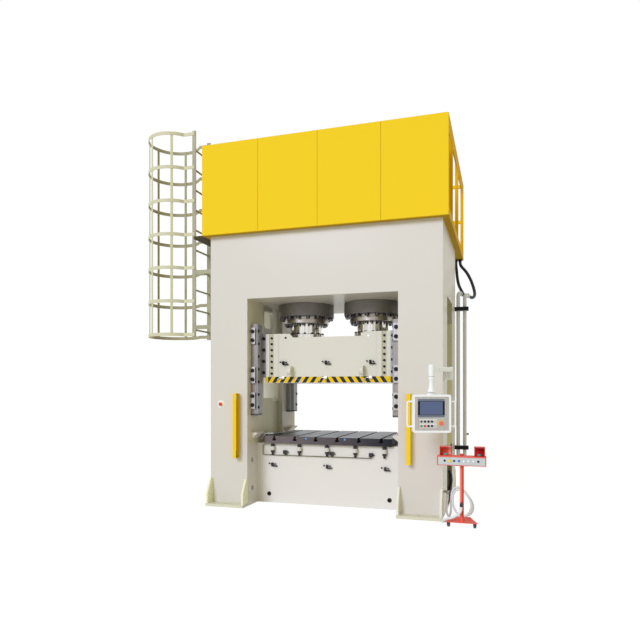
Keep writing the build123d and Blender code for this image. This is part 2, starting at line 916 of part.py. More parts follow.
# Bolt heads under the cylinder flanges and the gland rings
with BuildPart() as cylinder_bolts:
    for side in (-1, 1):
        outer_circle = circle_places(flange_bolt_count, flange_bolt_radius)
        inner_circle = circle_places(gland_bolt_count, gland_bolt_radius)
        outer = [(side * cylinder_half + x, y) for x, y in outer_circle]
        inner = [(side * cylinder_half + x, y) for x, y in inner_circle]
        outer_plane = Plane.XY.offset(flange_bottom - flange_bolt_height)
        inner_plane = Plane.XY.offset(gland_bottom - gland_bolt_height)
        add(hex_heads(outer_plane, outer, flange_bolt_across, flange_bolt_height))
        add(hex_heads(inner_plane, inner, gland_bolt_across, gland_bolt_height))

# Gland rings that guide the plungers, with the bolt heads
with BuildPart() as gland_rings:
    add(cylinder_bolts.part)
    with BuildSketch(Plane.XY.offset(gland_bottom)):
        with GridLocations(cylinder_spacing, 1, 2, 1):
            Circle(gland_diameter / 2)
            Circle(plunger_diameter / 2 + gland_clearance, mode=Mode.SUBTRACT)
    extrude(amount=gland_height)
write_piece(gland_rings, "gland_rings")

# Deck that carries the power pack, open around the two barrels
with BuildPart() as deck:
    deck_edge = deck_front + guard_panel_depth
    with BuildSketch(Plane.XY.offset(frame_height)):
        with Locations((0, (deck_edge + deck_rear) / 2)):
            Rectangle(2 * deck_right, deck_rear - deck_edge)
        with GridLocations(cylinder_spacing, 1, 2, 1):
            Circle(barrel_diameter / 2 + deck_barrel_clearance, mode=Mode.SUBTRACT)
    extrude(amount=deck_thickness)
    # Landing in front of the ladder
    with BuildSketch(Plane.XY.offset(deck_top - landing_thickness)):
        landing_end = ladder_face + stringer_depth / 2
        with Locations(((landing_end - deck_right) / 2, ladder_centre)):
            Rectangle(-deck_right - landing_end, landing_width)
    extrude(amount=landing_thickness)
write_piece(deck, "deck")

# Guard frame: square tube posts and rails with a sheet band at the top
with BuildPart() as guard_frame:
    post_x = deck_right - guard_tube / 2
    post_front = deck_front + guard_panel_depth + guard_tube / 2
    post_rear = deck_rear - guard_tube / 2
    post_places = [(side * post_x, y) for side in (-1, 1) for y in (post_front, post_rear)]
    post_places += [(post_x, front_face + inset) for inset in right_post_insets]
    post_places += [(-post_x, front_face + inset) for inset in left_post_insets]
    post_places += [(x, post_rear) for x in rear_post_places]
    with BuildSketch(Plane.XY.offset(deck_top)):
        with Locations(*post_places):
            Rectangle(guard_tube, guard_tube)
    extrude(amount=guard_top - deck_top)
    long_rails = [(y, low) for y in (post_front, post_rear) for low in (deck_top, guard_top - guard_tube)]
    long_rails.append((post_rear, rear_rail_height - guard_tube / 2))
    for y, low in long_rails:
        add(block((-post_x, y - guard_tube / 2, low), (post_x, y + guard_tube / 2, low + guard_tube)))
    for side, start in ((1, post_front), (-1, front_face + left_post_insets[0])):
        inside = side * post_x - guard_tube / 2
        for low in (deck_top, guard_top - guard_tube):
            add(block((inside, start, low), (inside + guard_tube, post_rear, low + guard_tube)))
        band_x = side * (deck_right - guard_band_thickness / 2)
        half_band = guard_band_thickness / 2
        band_low = guard_top - guard_band_height
        add(block((band_x - half_band, start, band_low), (band_x + half_band, post_rear, guard_top)))
write_piece(guard_frame, "guard_frame")

# Sheet panels across the front of the guard, folded back at all edges
with BuildPart() as guard_panels:
    pitch = 2 * deck_right / guard_panel_count
    places = [
        (x, (frame_height + guard_top) / 2)
        for x in spread(guard_panel_count, -deck_right + pitch / 2, deck_right - pitch / 2)
    ]
    panel_size = (pitch - guard_panel_seam, guard_height)
    with BuildSketch(front_plane(deck_front)):
        with Locations(*places):
            Rectangle(*panel_size)
    extrude(amount=-guard_panel_depth)
    with BuildSketch(front_plane(deck_front + guard_panel_sheet)):
        with Locations(*places):
            Rectangle(panel_size[0] - 2 * guard_panel_sheet, panel_size[1] - 2 * guard_panel_sheet)
    extrude(amount=guard_panel_sheet - guard_panel_depth, mode=Mode.SUBTRACT)
write_piece(guard_panels, "guard_panels")

# Oil tank with its lid, and the pipes that fill the cylinders from it
with BuildPart() as oil_tank:
    tank_front = deck_rear - tank_rear_gap - tank_depth
    with BuildSketch(Plane.XY.offset(deck_top)):
        with Locations((0, tank_front + tank_depth / 2)):
            Rectangle(tank_width, tank_depth)
    extrude(amount=tank_height)
    with BuildSketch(Plane.XY.offset(deck_top + tank_height)):
        with Locations((0, tank_front + tank_depth / 2)):
            Rectangle(tank_width + 2 * tank_lid_overhang, tank_depth + 2 * tank_lid_overhang)
    extrude(amount=tank_lid_thickness)
    for x in (-cylinder_half, cylinder_half):
        fill_route = [(x, 0, barrel_top), (x, 0, fill_pipe_height), (x, tank_front, fill_pipe_height)]
        add(tube(fill_route, fill_pipe_bend, fill_pipe_diameter))
write_piece(oil_tank, "oil_tank")

# Two electric motors, each with its bell housing and pump
with BuildPart() as power_units:
    axis_height = deck_top + motor_axis_height
    for side in (-1, 1):
        face = front_plane(motor_place, side * motor_spacing / 2, axis_height)
        with BuildSketch(face):
            Circle(motor_diameter / 2)
        extrude(amount=-motor_length)
        with BuildSketch(face):
            Circle(bell_diameter / 2)
        extrude(amount=bell_length)
        with BuildSketch(face.offset(bell_length)):
            Circle(pump_diameter / 2)
        extrude(amount=pump_length)
        with BuildSketch(Plane.XY.offset(deck_top)):
            with Locations((side * motor_spacing / 2, motor_place + motor_length / 2)):
                Rectangle(motor_foot_width, motor_foot_length)
        extrude(amount=motor_axis_height - motor_diameter / 2 + motor_foot_bite)
write_piece(power_units, "power_units")

# Valve block with its pilot valves and the pressure pipes to the cylinders
with BuildPart() as valve_block:
    with BuildSketch(Plane.XY.offset(deck_top)):
        with Locations((0, valve_block_place)):
            Rectangle(valve_block_width, valve_block_depth)
    extrude(amount=valve_block_height)
    with BuildSketch(Plane.XY.offset(deck_top + valve_block_height)):
        with GridLocations(valve_block_width / valve_count, 1, valve_count, 1):
            with Locations((0, valve_block_place)):
                Circle(valve_diameter / 2)
    extrude(amount=valve_height)
    pipe_start = valve_block_place + valve_block_depth / 2
    with BuildSketch(front_plane(pipe_start, z=deck_top + valve_block_height / 2)):
        with GridLocations(valve_block_width - valve_diameter, 1, 2, 1):
            Circle(pipe_diameter / 2)
    extrude(amount=pipe_start)
    with BuildSketch(Plane.XY.offset(deck_top)):
        with GridLocations(cylinder_spacing, 1, 2, 1):
            Circle(barrel_diameter / 2 + pressure_pipe_gap)
    extrude(amount=valve_block_height, mode=Mode.SUBTRACT)
write_piece(valve_block, "valve_block")

# Ladder: flat stringers, round rungs and stand-off brackets
with BuildPart() as ladder:
    stringer_places = [ladder_centre + side * (ladder_width + stringer_thickness) / 2 for side in (-1, 1)]
    with BuildSketch(Plane.XY.offset(ladder_bottom)):
        for y in stringer_places:
            with Locations((ladder_face, y)):
                Rectangle(stringer_depth, stringer_thickness)
    extrude(amount=ladder_top - ladder_bottom)
    rung_count = int((ladder_top - ladder_bottom - 2 * rung_first) / rung_pitch) + 1
    with BuildSketch(front_plane(stringer_places[0])):
        for index in range(rung_count):
            with Locations((ladder_face, ladder_bottom + rung_first + index * rung_pitch)):
                Circle(rung_diameter / 2)
    extrude(amount=stringer_places[0] - stringer_places[1])
    for y in stringer_places:
        for rise in ladder_bracket_rises:
            z = ladder_bottom + rise
            half_bar = ladder_bracket_thickness / 2
            add(block(
                (ladder_face, y - half_bar, z - ladder_bracket_width / 2),
                (-half_width, y + half_bar, z + ladder_bracket_width / 2),
            ))
write_piece(ladder, "ladder")

# Ladder cage: hoops that leave the stringers, joined by upright straps
with BuildPart() as ladder_cage:
    straight_x = ladder_face - (cage_reach - cage_radius)
    flare_x = ladder_face - cage_flare
    root_y = (ladder_width + 2 * stringer_thickness) / 2 + hoop_thickness / 2
    hoop_radius = cage_radius - hoop_thickness / 2
    for index in range(hoop_count):
        level = Plane.XY.offset(hoop_first + index * hoop_pitch)
        with BuildSketch(level):
            with BuildLine():
                Polyline(
                    (ladder_face + stringer_depth / 4, ladder_centre - root_y),
                    (ladder_face - stringer_depth / 2, ladder_centre - root_y),
                    (flare_x, ladder_centre - hoop_radius),
                    (straight_x, ladder_centre - hoop_radius),
                )
                ThreePointArc(
                    (straight_x, ladder_centre - hoop_radius),
                    (straight_x - hoop_radius, ladder_centre),
                    (straight_x, ladder_centre + hoop_radius),
                )
                Polyline(
                    (straight_x, ladder_centre + hoop_radius),
                    (flare_x, ladder_centre + hoop_radius),
                    (ladder_face - stringer_depth / 2, ladder_centre + root_y),
                    (ladder_face + stringer_depth / 4, ladder_centre + root_y),
                )
            trace(line_width=hoop_thickness)
        extrude(amount=hoop_width)
    strap_radius = cage_radius - hoop_thickness - strap_thickness / 2
    with BuildSketch(Plane.XY.offset(hoop_first)):
        for angle in strap_angles:
            turn = radians(180 - angle)
            place = (straight_x + strap_radius * cos(turn), ladder_centre + strap_radius * sin(turn))
            with Locations(Location(place, 180 - angle)):
                Rectangle(strap_thickness, strap_width)
    extrude(amount=(hoop_count - 1) * hoop_pitch + hoop_width)
write_piece(ladder_cage, "ladder_cage")

# Light curtain guards, open towards the window, with the sensor bars inside
with BuildPart() as curtain_guards:
    for side in (-1, 1):
        centre = side * (half_width - curtain_inset)
        with BuildSketch(Plane.XY.offset(curtain_bottom)):
            with Locations((centre, front_face - curtain_depth / 2)):
                Rectangle(curtain_width, curtain_depth)
        extrude(amount=curtain_top - curtain_bottom)
        with BuildSketch(Plane.XY.offset(curtain_bottom + curtain_sheet)):
            with Locations((centre - side * curtain_sheet, front_face - curtain_depth / 2)):
                Rectangle(curtain_width, curtain_depth - 2 * curtain_sheet)
        extrude(amount=curtain_top - curtain_bottom - 2 * curtain_sheet, mode=Mode.SUBTRACT)
        wall = centre + side * (curtain_width / 2 - curtain_sheet)
        with BuildSketch(Plane.XY.offset(curtain_bottom + sensor_margin)):
            with Locations((wall - side * sensor_width / 2, front_face - curtain_depth / 2)):
                Rectangle(sensor_width, sensor_depth)
        extrude(amount=curtain_top - curtain_bottom - 2 * sensor_margin)
write_piece(curtain_guards, "curtain_guards")

# Routes of the two hoses, each from its port under the deck's rear right corner
pipe_y = half_depth - pipe_rear_inset
inner_pipe_x, outer_pipe_x = [half_width + offset for offset in pipe_offsets]
inner_hose_offsets = [
    (-35, 635, -hose_fitting_length),
    (-35, 635, -100),
    (-22, 607, -185),
    (-8, 551, -325),
    (22, 465, -472),
    (66, 375, -571),
    (101, 295, -638),
    (122, 225, -682),
    (103, 154, -698),
    (81, 75, -690),
]
outer_hose_offsets = [
    (35, 635, -hose_fitting_length),
    (35, 635, -88),
    (68, 623, -142),
    (142, 593, -228),
    (210, 555, -356),
    (261, 495, -498),
    (293, 415, -625),
    (290, 340, -698),
    (261, 257, -734),
    (229, 175, -730),
    (200, 95, -724),
]
inner_hose_route, outer_hose_route = [
    [(half_width + x, half_depth + y, frame_height + z) for x, y, z in offsets]
    for offsets in (inner_hose_offsets, outer_hose_offsets)
]

# Route of the stand's conduit: from the right column, twice round a coil, then to the post
conduit_offsets = [
    (47, 165, 303),
    (47, 165, 245),
    (42, 115, 205),
    (43, 45, 148),
    (50, 20, 80),
    (65, 55, 26),
    (80, 115, 22),
    (91, 153, 72),
    (92, 157, 190),
    (96, 156, 300),
    (112, 155, 362),
    (146, 154, 396),
    (200, 153, 398),
    (258, 151, 360),
    (316, 147, 290),
    (370, 139, 202),
    (380, 125, 128),
    (350, 110, 62),
    (268, 100, 30),
    (188, 99, 46),
    (138, 97, 120),
    (118, 93, 200),
    (118, 89, 282),
    (140, 84, 356),
    (192, 79, 388),
    (260, 73, 362),
    (328, 63, 290),
    (366, 49, 205),
    (350, 29, 110),
    (280, 3, 46),
    (190, -29, 22),
    (110, -79, 18),
    (52, -159, 18),
    (24, -267, 22),
    (32, -363, 52),
    (75, -423, 95),
    (138, -459, 114),
    (202, -473, 148),
    (248, -465, 186),
    (266, -450, 222),
    (266, -450, 262),
]
conduit_route = [(half_width + x, front_face + y, z) for x, y, z in conduit_offsets]

# Rigid pipes beside the right column, each with an elbow and a hexagon fitting at its top
with BuildPart() as return_pipes:
    for pipe_x, drop, route in (
        (inner_pipe_x, inner_elbow_drop, inner_hose_route),
        (outer_pipe_x, outer_elbow_drop, outer_hose_route),
    ):
        elbow = (pipe_x, pipe_y, frame_height - drop)
        way_out = (Vector(*route[-2]) - Vector(*route[-1])).normalized()
        fitting = Vector(*route[-1]) - way_out * hose_fitting_length
        add(tube([(pipe_x, pipe_y, pipe_bottom), elbow, tuple(fitting)], pipe_bend, pipe_diameter))
        with BuildSketch(Plane(origin=fitting, z_dir=way_out)):
            RegularPolygon(pipe_fitting_across / 2, 6, major_radius=False)
        extrude(amount=hose_fitting_length)
write_piece(return_pipes, "return_pipes")

# Clamps of the rigid pipes, the hose ports under the deck and the conduit glands
stand_centre = half_width + stand_offset
stand_face_y = front_face - stand_front
post_y = stand_face_y + stand_box_depth / 2
with BuildPart() as pipe_clamps:
    clamp_reach = pipe_offsets[1] + pipe_diameter
    for height in (lower_clamp_height, frame_height - upper_clamp_drop):
        with BuildSketch(Plane.XY.offset(height - pipe_clamp_height / 2)):
            with Locations((half_width + clamp_reach / 2, pipe_y)):
                Rectangle(clamp_reach, pipe_clamp_depth)
            with Locations((inner_pipe_x, pipe_y), (outer_pipe_x, pipe_y)):
                Circle(pipe_diameter / 2 + pipe_clamp_clearance, mode=Mode.SUBTRACT)
        extrude(amount=pipe_clamp_height)
    with BuildSketch(Plane.XY.offset(frame_height - hose_fitting_length)):
        with Locations(inner_hose_route[0][:2], outer_hose_route[0][:2]):
            Circle(hose_fitting_diameter / 2)
    extrude(amount=hose_fitting_length)
    for x, y, z in (conduit_route[0], conduit_route[-1]):
        with BuildSketch(Plane.XY.offset(z)):
            with Locations((x, y)):
                Circle(conduit_gland_diameter / 2)
        extrude(amount=conduit_gland_length)
    x, y, z = conduit_route[0]
    with BuildSketch(Plane.YZ.offset(half_width)):
        with Locations((y, z + conduit_gland_length)):
            Circle(conduit_elbow_diameter / 2)
    extrude(amount=x - half_width + conduit_gland_diameter / 2)
    x, y, z = conduit_route[-1]
    gland_front = y - conduit_gland_diameter / 2
    with BuildSketch(front_plane(gland_front, x, z + conduit_gland_length)):
        Circle(conduit_elbow_diameter / 2)
    extrude(amount=gland_front - post_y)
    with BuildSketch(Plane.XY):
        with Locations((stand_centre, post_y)):
            Circle(stand_post_diameter / 2)
    extrude(amount=stand_box_top, mode=Mode.SUBTRACT)
write_piece(pipe_clamps, "pipe_clamps")

with BuildPart() as hose_inner:
    add(hose(inner_hose_route, hose_diameter, "inner hose"))
write_piece(hose_inner, "hose_inner")

with BuildPart() as hose_outer:
    add(hose(outer_hose_route, hose_diameter, "outer hose"))
write_piece(hose_outer, "hose_outer")

with BuildPart() as conduit:
    add(hose(conduit_route, conduit_diameter, "conduit"))
write_piece(conduit, "conduit")


def button_cap(plane, diameter, seat, height):
    """A plain push button whose skirt starts below its seat."""
    with BuildPart(mode=Mode.PRIVATE) as cap:
        with BuildSketch(plane.offset(-seat)):
            Circle(diameter / 2)
        extrude(amount=seat + height)
    return cap.part


def mushroom_cap(plane, diameter, seat, height):
    """A mushroom head on a narrower neck."""
    with BuildPart(mode=Mode.PRIVATE) as cap:
        with BuildSketch(plane.offset(-seat)):
            Circle(button_diameter / 2)
        extrude(amount=seat + height)
        underside = bezel_height + button_travel + mushroom_gap
        with BuildSketch(plane.offset(underside)):
            Circle(diameter / 2)
        extrude(amount=height - underside)
    return cap.part


def turn_knob(plane, diameter, seat, height):
    """A selector: a round base with a grip bar across it."""
    with BuildPart(mode=Mode.PRIVATE) as cap:
        with BuildSketch(plane.offset(-seat)):
            Circle(diameter / 2)
        extrude(amount=seat + bezel_height + knob_rim)
        with BuildSketch(plane.offset(bezel_height + knob_rim)):
            Rectangle(diameter / 3, diameter)
        extrude(amount=height - bezel_height - knob_rim)
    return cap.part


def control_holes(plane, places, seat):
    """Round pockets that the controls sit in."""
    with BuildPart(mode=Mode.PRIVATE) as pockets:
        with BuildSketch(plane):
            with Locations(*places):
                Circle(button_diameter / 2 + bezel_clearance)
        extrude(amount=-seat - button_travel - bezel_clearance)
    return pockets.part


def bezel_rings(plane, places):
    """Raised rings around the controls."""
    with BuildPart(mode=Mode.PRIVATE) as rings:
        with BuildSketch(plane):
            with Locations(*places):
                Circle(button_diameter / 2 + bezel_ring)
            with Locations(*places):
                Circle(button_diameter / 2 + bezel_clearance, mode=Mode.SUBTRACT)
        extrude(amount=bezel_height)
    return rings.part


def shifted(plane, place):
    """The plane moved within itself to a place."""
    origin = plane.from_local_coords((place[0], place[1], 0))
    return Plane(origin=origin, x_dir=plane.x_dir, z_dir=plane.z_dir)


cap_shapes = {"push": button_cap, "mushroom": mushroom_cap, "turn": turn_knob}


def write_control(name, plane, place, shape, diameter, height):
    """Make one button, mushroom or knob and write it."""
    with BuildPart() as control:
        add(cap_shapes[shape](shifted(plane, place), diameter, control_seat, height))
    write_piece(control, name)


control_seat = panel_face_depth

# Emergency stop on the left column
stop_plane = front_plane(
    front_face - column_stop_plate_depth, -half_width + column_stop_inset, column_stop_height
)
with BuildPart() as column_stop_box:
    with BuildSketch(stop_plane):
        Circle(column_stop_plate / 2)
    extrude(amount=-column_stop_plate_depth)
    add(control_holes(stop_plane, [(0, 0)], control_seat), mode=Mode.SUBTRACT)
    add(bezel_rings(stop_plane, [(0, 0)]))
write_piece(column_stop_box, "column_stop_box")
column_stop = ("mushroom", column_stop_head, mushroom_height)
write_control("column_emergency_stop", stop_plane, (0, 0), *column_stop)

# Bracket on the right side face: a plate, a web and the housing of the arm's pivot pin
pivot = (half_width + pivot_offset, front_face + pivot_front_inset)
arm_underside = arm_height - arm_tube / 2
housing_top = arm_underside - axial_clearance
housing_bottom = housing_top - pivot_housing_height
with BuildPart() as pendant_bracket:
    with BuildSketch(Plane.YZ.offset(half_width)):
        with Locations((pivot[1], (housing_bottom + housing_top) / 2)):
            RectangleRounded(bracket_width, bracket_height, bracket_corner)
    extrude(amount=bracket_plate)
    with BuildSketch(Plane.XY.offset(housing_bottom)):
        with Locations((half_width + (pivot_offset + bracket_plate) / 2, pivot[1])):
            Rectangle(pivot_offset - bracket_plate, bracket_web)
        with Locations(pivot):
            Circle(pivot_hub_diameter / 2)
        with Locations(pivot):
            Circle(pivot_pin_diameter / 2 + running_clearance, mode=Mode.SUBTRACT)
    extrude(amount=pivot_housing_height)
write_piece(pendant_bracket, "pendant_bracket")

# Swinging arm: hub and pin, horizontal tube, and the socket of the hanger
hanger = (half_width - hanger_inset, front_face - hanger_front)
arm_direction = Vector(hanger[0] - pivot[0], hanger[1] - pivot[1], 0)
arm_upper_side = arm_height + arm_tube / 2
socket_low = arm_underside - hanger_socket_length
with BuildPart() as pendant_arm:
    with BuildSketch(Plane.XY.offset(arm_underside)):
        with Locations(pivot):
            Circle(pivot_hub_diameter / 2)
    extrude(amount=arm_tube + pivot_cap_rim)
    with BuildSketch(Plane.XY.offset(arm_underside - pivot_pin_length)):
        with Locations(pivot):
            Circle(pivot_pin_diameter / 2)
    extrude(amount=pivot_pin_length)
    with BuildSketch(Plane(origin=(*pivot, arm_height), z_dir=arm_direction)):
        Circle(arm_tube / 2)
    extrude(amount=arm_direction.length)
    with BuildSketch(Plane.XY.offset(socket_low)):
        with Locations(hanger):
            Circle(pivot_hub_diameter / 2)
    extrude(amount=arm_upper_side + hanger_socket_rim - socket_low)
    with BuildSketch(Plane.XY.offset(socket_low)):
        with Locations(hanger):
            Circle(hanger_spigot_diameter / 2 + running_clearance)
    extrude(amount=hanger_spigot_length + spigot_end_gap, mode=Mode.SUBTRACT)
write_piece(pendant_arm, "pendant_arm")

# Hanger tube with its collar, spigot and foot flange
panel_top = panel_bottom + panel_height
hanger_top = socket_low - axial_clearance
with BuildPart() as pendant_hanger:
    for low, high, diameter in (
        (panel_top, panel_top + panel_flange_height, panel_flange_diameter),
        (panel_top + panel_flange_height, hanger_top, hanger_tube),
        (hanger_top - hanger_collar_height, hanger_top, hanger_collar_diameter),
        (hanger_top, hanger_top + hanger_spigot_length, hanger_spigot_diameter),
    ):
        with BuildSketch(Plane.XY.offset(low)):
            with Locations(hanger):
                Circle(diameter / 2)
        extrude(amount=high - low)
write_piece(pendant_hanger, "pendant_hanger")

# Operator panel, turned towards the person who stands in front of it
turn = radians(panel_turn)
panel_normal = Vector(sin(turn), -cos(turn), 0)
panel_x = Vector(cos(turn), sin(turn), 0)
panel_origin = Vector(*hanger, panel_bottom + panel_height / 2) + panel_normal * (panel_depth / 2)
panel_front = Plane(origin=panel_origin, x_dir=panel_x, z_dir=panel_normal)
panel_face_plane = panel_front.offset(-panel_face_recess)
panel_columns = spread(panel_column_count, panel_column_low, panel_column_high)
panel_controls = [(x, y) for y in panel_rows for x in panel_columns[:-1]]
panel_lamps = [(panel_columns[-1], y) for y in panel_rows]
panel_holes = panel_controls + [panel_stop_place]
face_size = (panel_width - 2 * panel_face_margin, panel_height - 2 * panel_face_margin)
with BuildPart() as panel_housing:
    with BuildSketch(panel_front):
        RectangleRounded(panel_width, panel_height, panel_corner)
    extrude(amount=-panel_depth)
    with BuildSketch(panel_front):
        Rectangle(*face_size)
    extrude(amount=-panel_face_recess - panel_face_depth, mode=Mode.SUBTRACT)
    add(control_holes(panel_face_plane, panel_holes, control_seat), mode=Mode.SUBTRACT)
    # Grab handles on both sides
    for side in (-1, 1):
        root = side * panel_width / 2
        grip = [
            panel_front.from_local_coords((x, y, -panel_depth / 2))
            for x, y in (
                (root, -handle_length / 2 - handle_drop),
                (root + side * handle_reach, -handle_length / 2 - handle_drop),
                (root + side * handle_reach, handle_length / 2 - handle_drop),
                (root, handle_length / 2 - handle_drop),
            )
        ]
        add(tube([tuple(point) for point in grip], handle_bend, handle_diameter))
write_piece(panel_housing, "panel_housing")

# Metal face plate with the rings of its controls and two lamps
with BuildPart() as panel_face:
    with BuildSketch(panel_face_plane):
        Rectangle(*face_size)
    extrude(amount=-panel_face_depth)
    add(control_holes(panel_face_plane, panel_holes, control_seat), mode=Mode.SUBTRACT)
    add(bezel_rings(panel_face_plane, panel_holes + panel_lamps))
    with BuildSketch(panel_face_plane):
        with Locations(*panel_lamps):
            Circle(button_diameter / 2 + bezel_clearance)
    extrude(amount=button_height)
write_piece(panel_face, "panel_face")

# Screen with its frame
with BuildPart() as panel_screen:
    with BuildSketch(panel_face_plane):
        with Locations((screen_shift, screen_rise)):
            RectangleRounded(screen_width, screen_height, screen_corner)
    extrude(amount=screen_depth)
    with BuildSketch(panel_face_plane.offset(screen_depth)):
        with Locations((screen_shift, screen_rise)):
            Rectangle(screen_width - 2 * screen_bezel, screen_height - 2 * screen_bezel)
    extrude(amount=-screen_sink, mode=Mode.SUBTRACT)
write_piece(panel_screen, "panel_screen")

panel_names = (
    "panel_selector",
    "panel_button_left",
    "panel_button_middle",
    "panel_button_right",
    "panel_start_button",
    "panel_stop_button",
    "panel_lower_button_left",
    "panel_lower_button_right",
)
for name, place in zip(panel_names, panel_controls):
    shape = "turn" if name == "panel_selector" else "push"
    height = knob_height if shape == "turn" else button_height
    write_control(name, panel_face_plane, place, shape, button_diameter, height)
panel_stop = ("mushroom", panel_stop_head, mushroom_height)
write_control("panel_emergency_stop", panel_face_plane, panel_stop_place, *panel_stop)

# Control stand: base plate, post and the plate under the box
stand_box_bottom = stand_box_top - stand_box_height
stand_plate_top = castor_height + stand_plate_thickness
castor_front_y = stand_face_y + castor_front_inset
castor_rear_y = stand_face_y + stand_plate_depth - castor_rear_inset
castor_places = {
    "left": (stand_centre - castor_spacing / 2, castor_front_y),
    "right": (stand_centre + castor_spacing / 2, castor_front_y),
    "rear": (stand_centre, castor_rear_y),
}
with BuildPart() as stand_base:
    with BuildSketch(Plane.XY.offset(castor_height)):
        with BuildLine():
            Polyline(
                (stand_centre - stand_plate_front / 2, stand_face_y),
                (stand_centre + stand_plate_front / 2, stand_face_y),
                (stand_centre + stand_plate_rear / 2, stand_face_y + stand_plate_depth),
                (stand_centre - stand_plate_rear / 2, stand_face_y + stand_plate_depth),
                close=True,
            )
        make_face()
        with Locations(*castor_places.values()):
            Circle(castor_pin_diameter / 2 + running_clearance, mode=Mode.SUBTRACT)
    extrude(amount=stand_plate_thickness)
    with BuildSketch(Plane.XY.offset(stand_plate_top)):
        with Locations((stand_centre, post_y)):
            Circle(stand_post_diameter / 2)
    extrude(amount=stand_box_bottom - stand_plate_top)
    with BuildSketch(Plane.XY.offset(stand_box_bottom - stand_head_thickness)):
        with Locations((stand_centre, post_y)):
            Rectangle(stand_head_width, stand_box_depth)
    extrude(amount=stand_head_thickness)
write_piece(stand_base, "stand_base")

# Control box with a hood over each palm button
stand_front_plane = front_plane(stand_face_y, stand_centre, stand_box_bottom + stand_box_height / 2)
stand_top_plane = Plane(origin=(stand_centre, post_y, stand_box_top), x_dir=(1, 0, 0), z_dir=(0, 0, 1))
stand_columns = spread(stand_column_count, -stand_column_reach, stand_column_reach)
stand_names = (
    ("stand_selector_left", "turn", button_diameter, knob_height),
    ("stand_yellow_stop", "mushroom", stand_stop_head, mushroom_height),
    ("stand_button_black", "push", button_diameter, button_height),
    ("stand_button_blue", "push", button_diameter, button_height),
    ("stand_selector_right", "turn", button_diameter, knob_height),
    ("stand_lamp_left", "lamp", button_diameter, button_height),
    ("stand_lamp_right", "lamp", button_diameter, button_height),
    ("stand_button_end", "push", button_diameter, button_height),
)
stand_places = {row[0]: (x, 0) for row, x in zip(stand_names, stand_columns)}
stand_controls = [row for row in stand_names if row[1] != "lamp"]
stand_lamps = [stand_places[row[0]] for row in stand_names if row[1] == "lamp"]
stand_holes = [stand_places[row[0]] for row in stand_controls]
palm_left, palm_right = [
    side * ((stand_box_width - stand_guard_width) / 2 - inset)
    for side, inset in zip((-1, 1), stand_guard_insets)
]
top_places = {
    "palm_button_left": (palm_left, 0),
    "stand_emergency_stop": (0, 0),
    "palm_button_right": (palm_right, 0),
}
with BuildPart() as stand_box:
    with BuildSketch(Plane.XY.offset(stand_box_bottom)):
        with Locations((stand_centre, post_y + panel_face_depth / 2)):
            Rectangle(stand_box_width, stand_box_depth - panel_face_depth)
    extrude(amount=stand_box_height)
    with BuildSketch(Plane.XY.offset(stand_box_top - stand_lip_thickness)):
        with Locations((stand_centre, stand_face_y + (panel_face_depth - stand_lip) / 2)):
            Rectangle(stand_box_width, stand_lip + panel_face_depth)
    extrude(amount=stand_lip_thickness)
    for side, place in ((-1, palm_left), (1, palm_right)):
        hood_x = stand_centre + place
        with BuildSketch(Plane.XY.offset(stand_box_top)):
            with Locations((hood_x, post_y + panel_face_depth / 2)):
                Rectangle(stand_guard_width, stand_box_depth - panel_face_depth)
        extrude(amount=stand_guard_top - stand_box_top)
        with BuildSketch(Plane.XY.offset(stand_box_top)):
            with Locations((hood_x - side * stand_guard_sheet, post_y - stand_guard_sheet)):
                Rectangle(stand_guard_width, stand_box_depth)
        extrude(amount=stand_guard_top - stand_box_top - stand_guard_sheet, mode=Mode.SUBTRACT)
    add(control_holes(stand_front_plane, stand_holes, control_seat), mode=Mode.SUBTRACT)
    add(control_holes(stand_top_plane, list(top_places.values()), control_seat), mode=Mode.SUBTRACT)
    add(bezel_rings(stand_top_plane, list(top_places.values())))
write_piece(stand_box, "stand_box")

# Metal face of the control box, below the lip of its top
with BuildPart() as stand_face:
    with BuildSketch(stand_front_plane):
        with Locations((0, -stand_lip_thickness / 2)):
            Rectangle(stand_box_width, stand_box_height - stand_lip_thickness)
    extrude(amount=-panel_face_depth)
    add(control_holes(stand_front_plane, stand_holes, control_seat), mode=Mode.SUBTRACT)
    add(bezel_rings(stand_front_plane, stand_holes + stand_lamps))
    with BuildSketch(stand_front_plane):
        with Locations(*stand_lamps):
            Circle(button_diameter / 2 + bezel_clearance)
    extrude(amount=button_height)
write_piece(stand_face, "stand_face")

for name, shape, diameter, height in stand_controls:
    write_control(name, stand_front_plane, stand_places[name], shape, diameter, height)
for name, place in top_places.items():
    write_control(name, stand_top_plane, place, "mushroom", palm_head, mushroom_height)

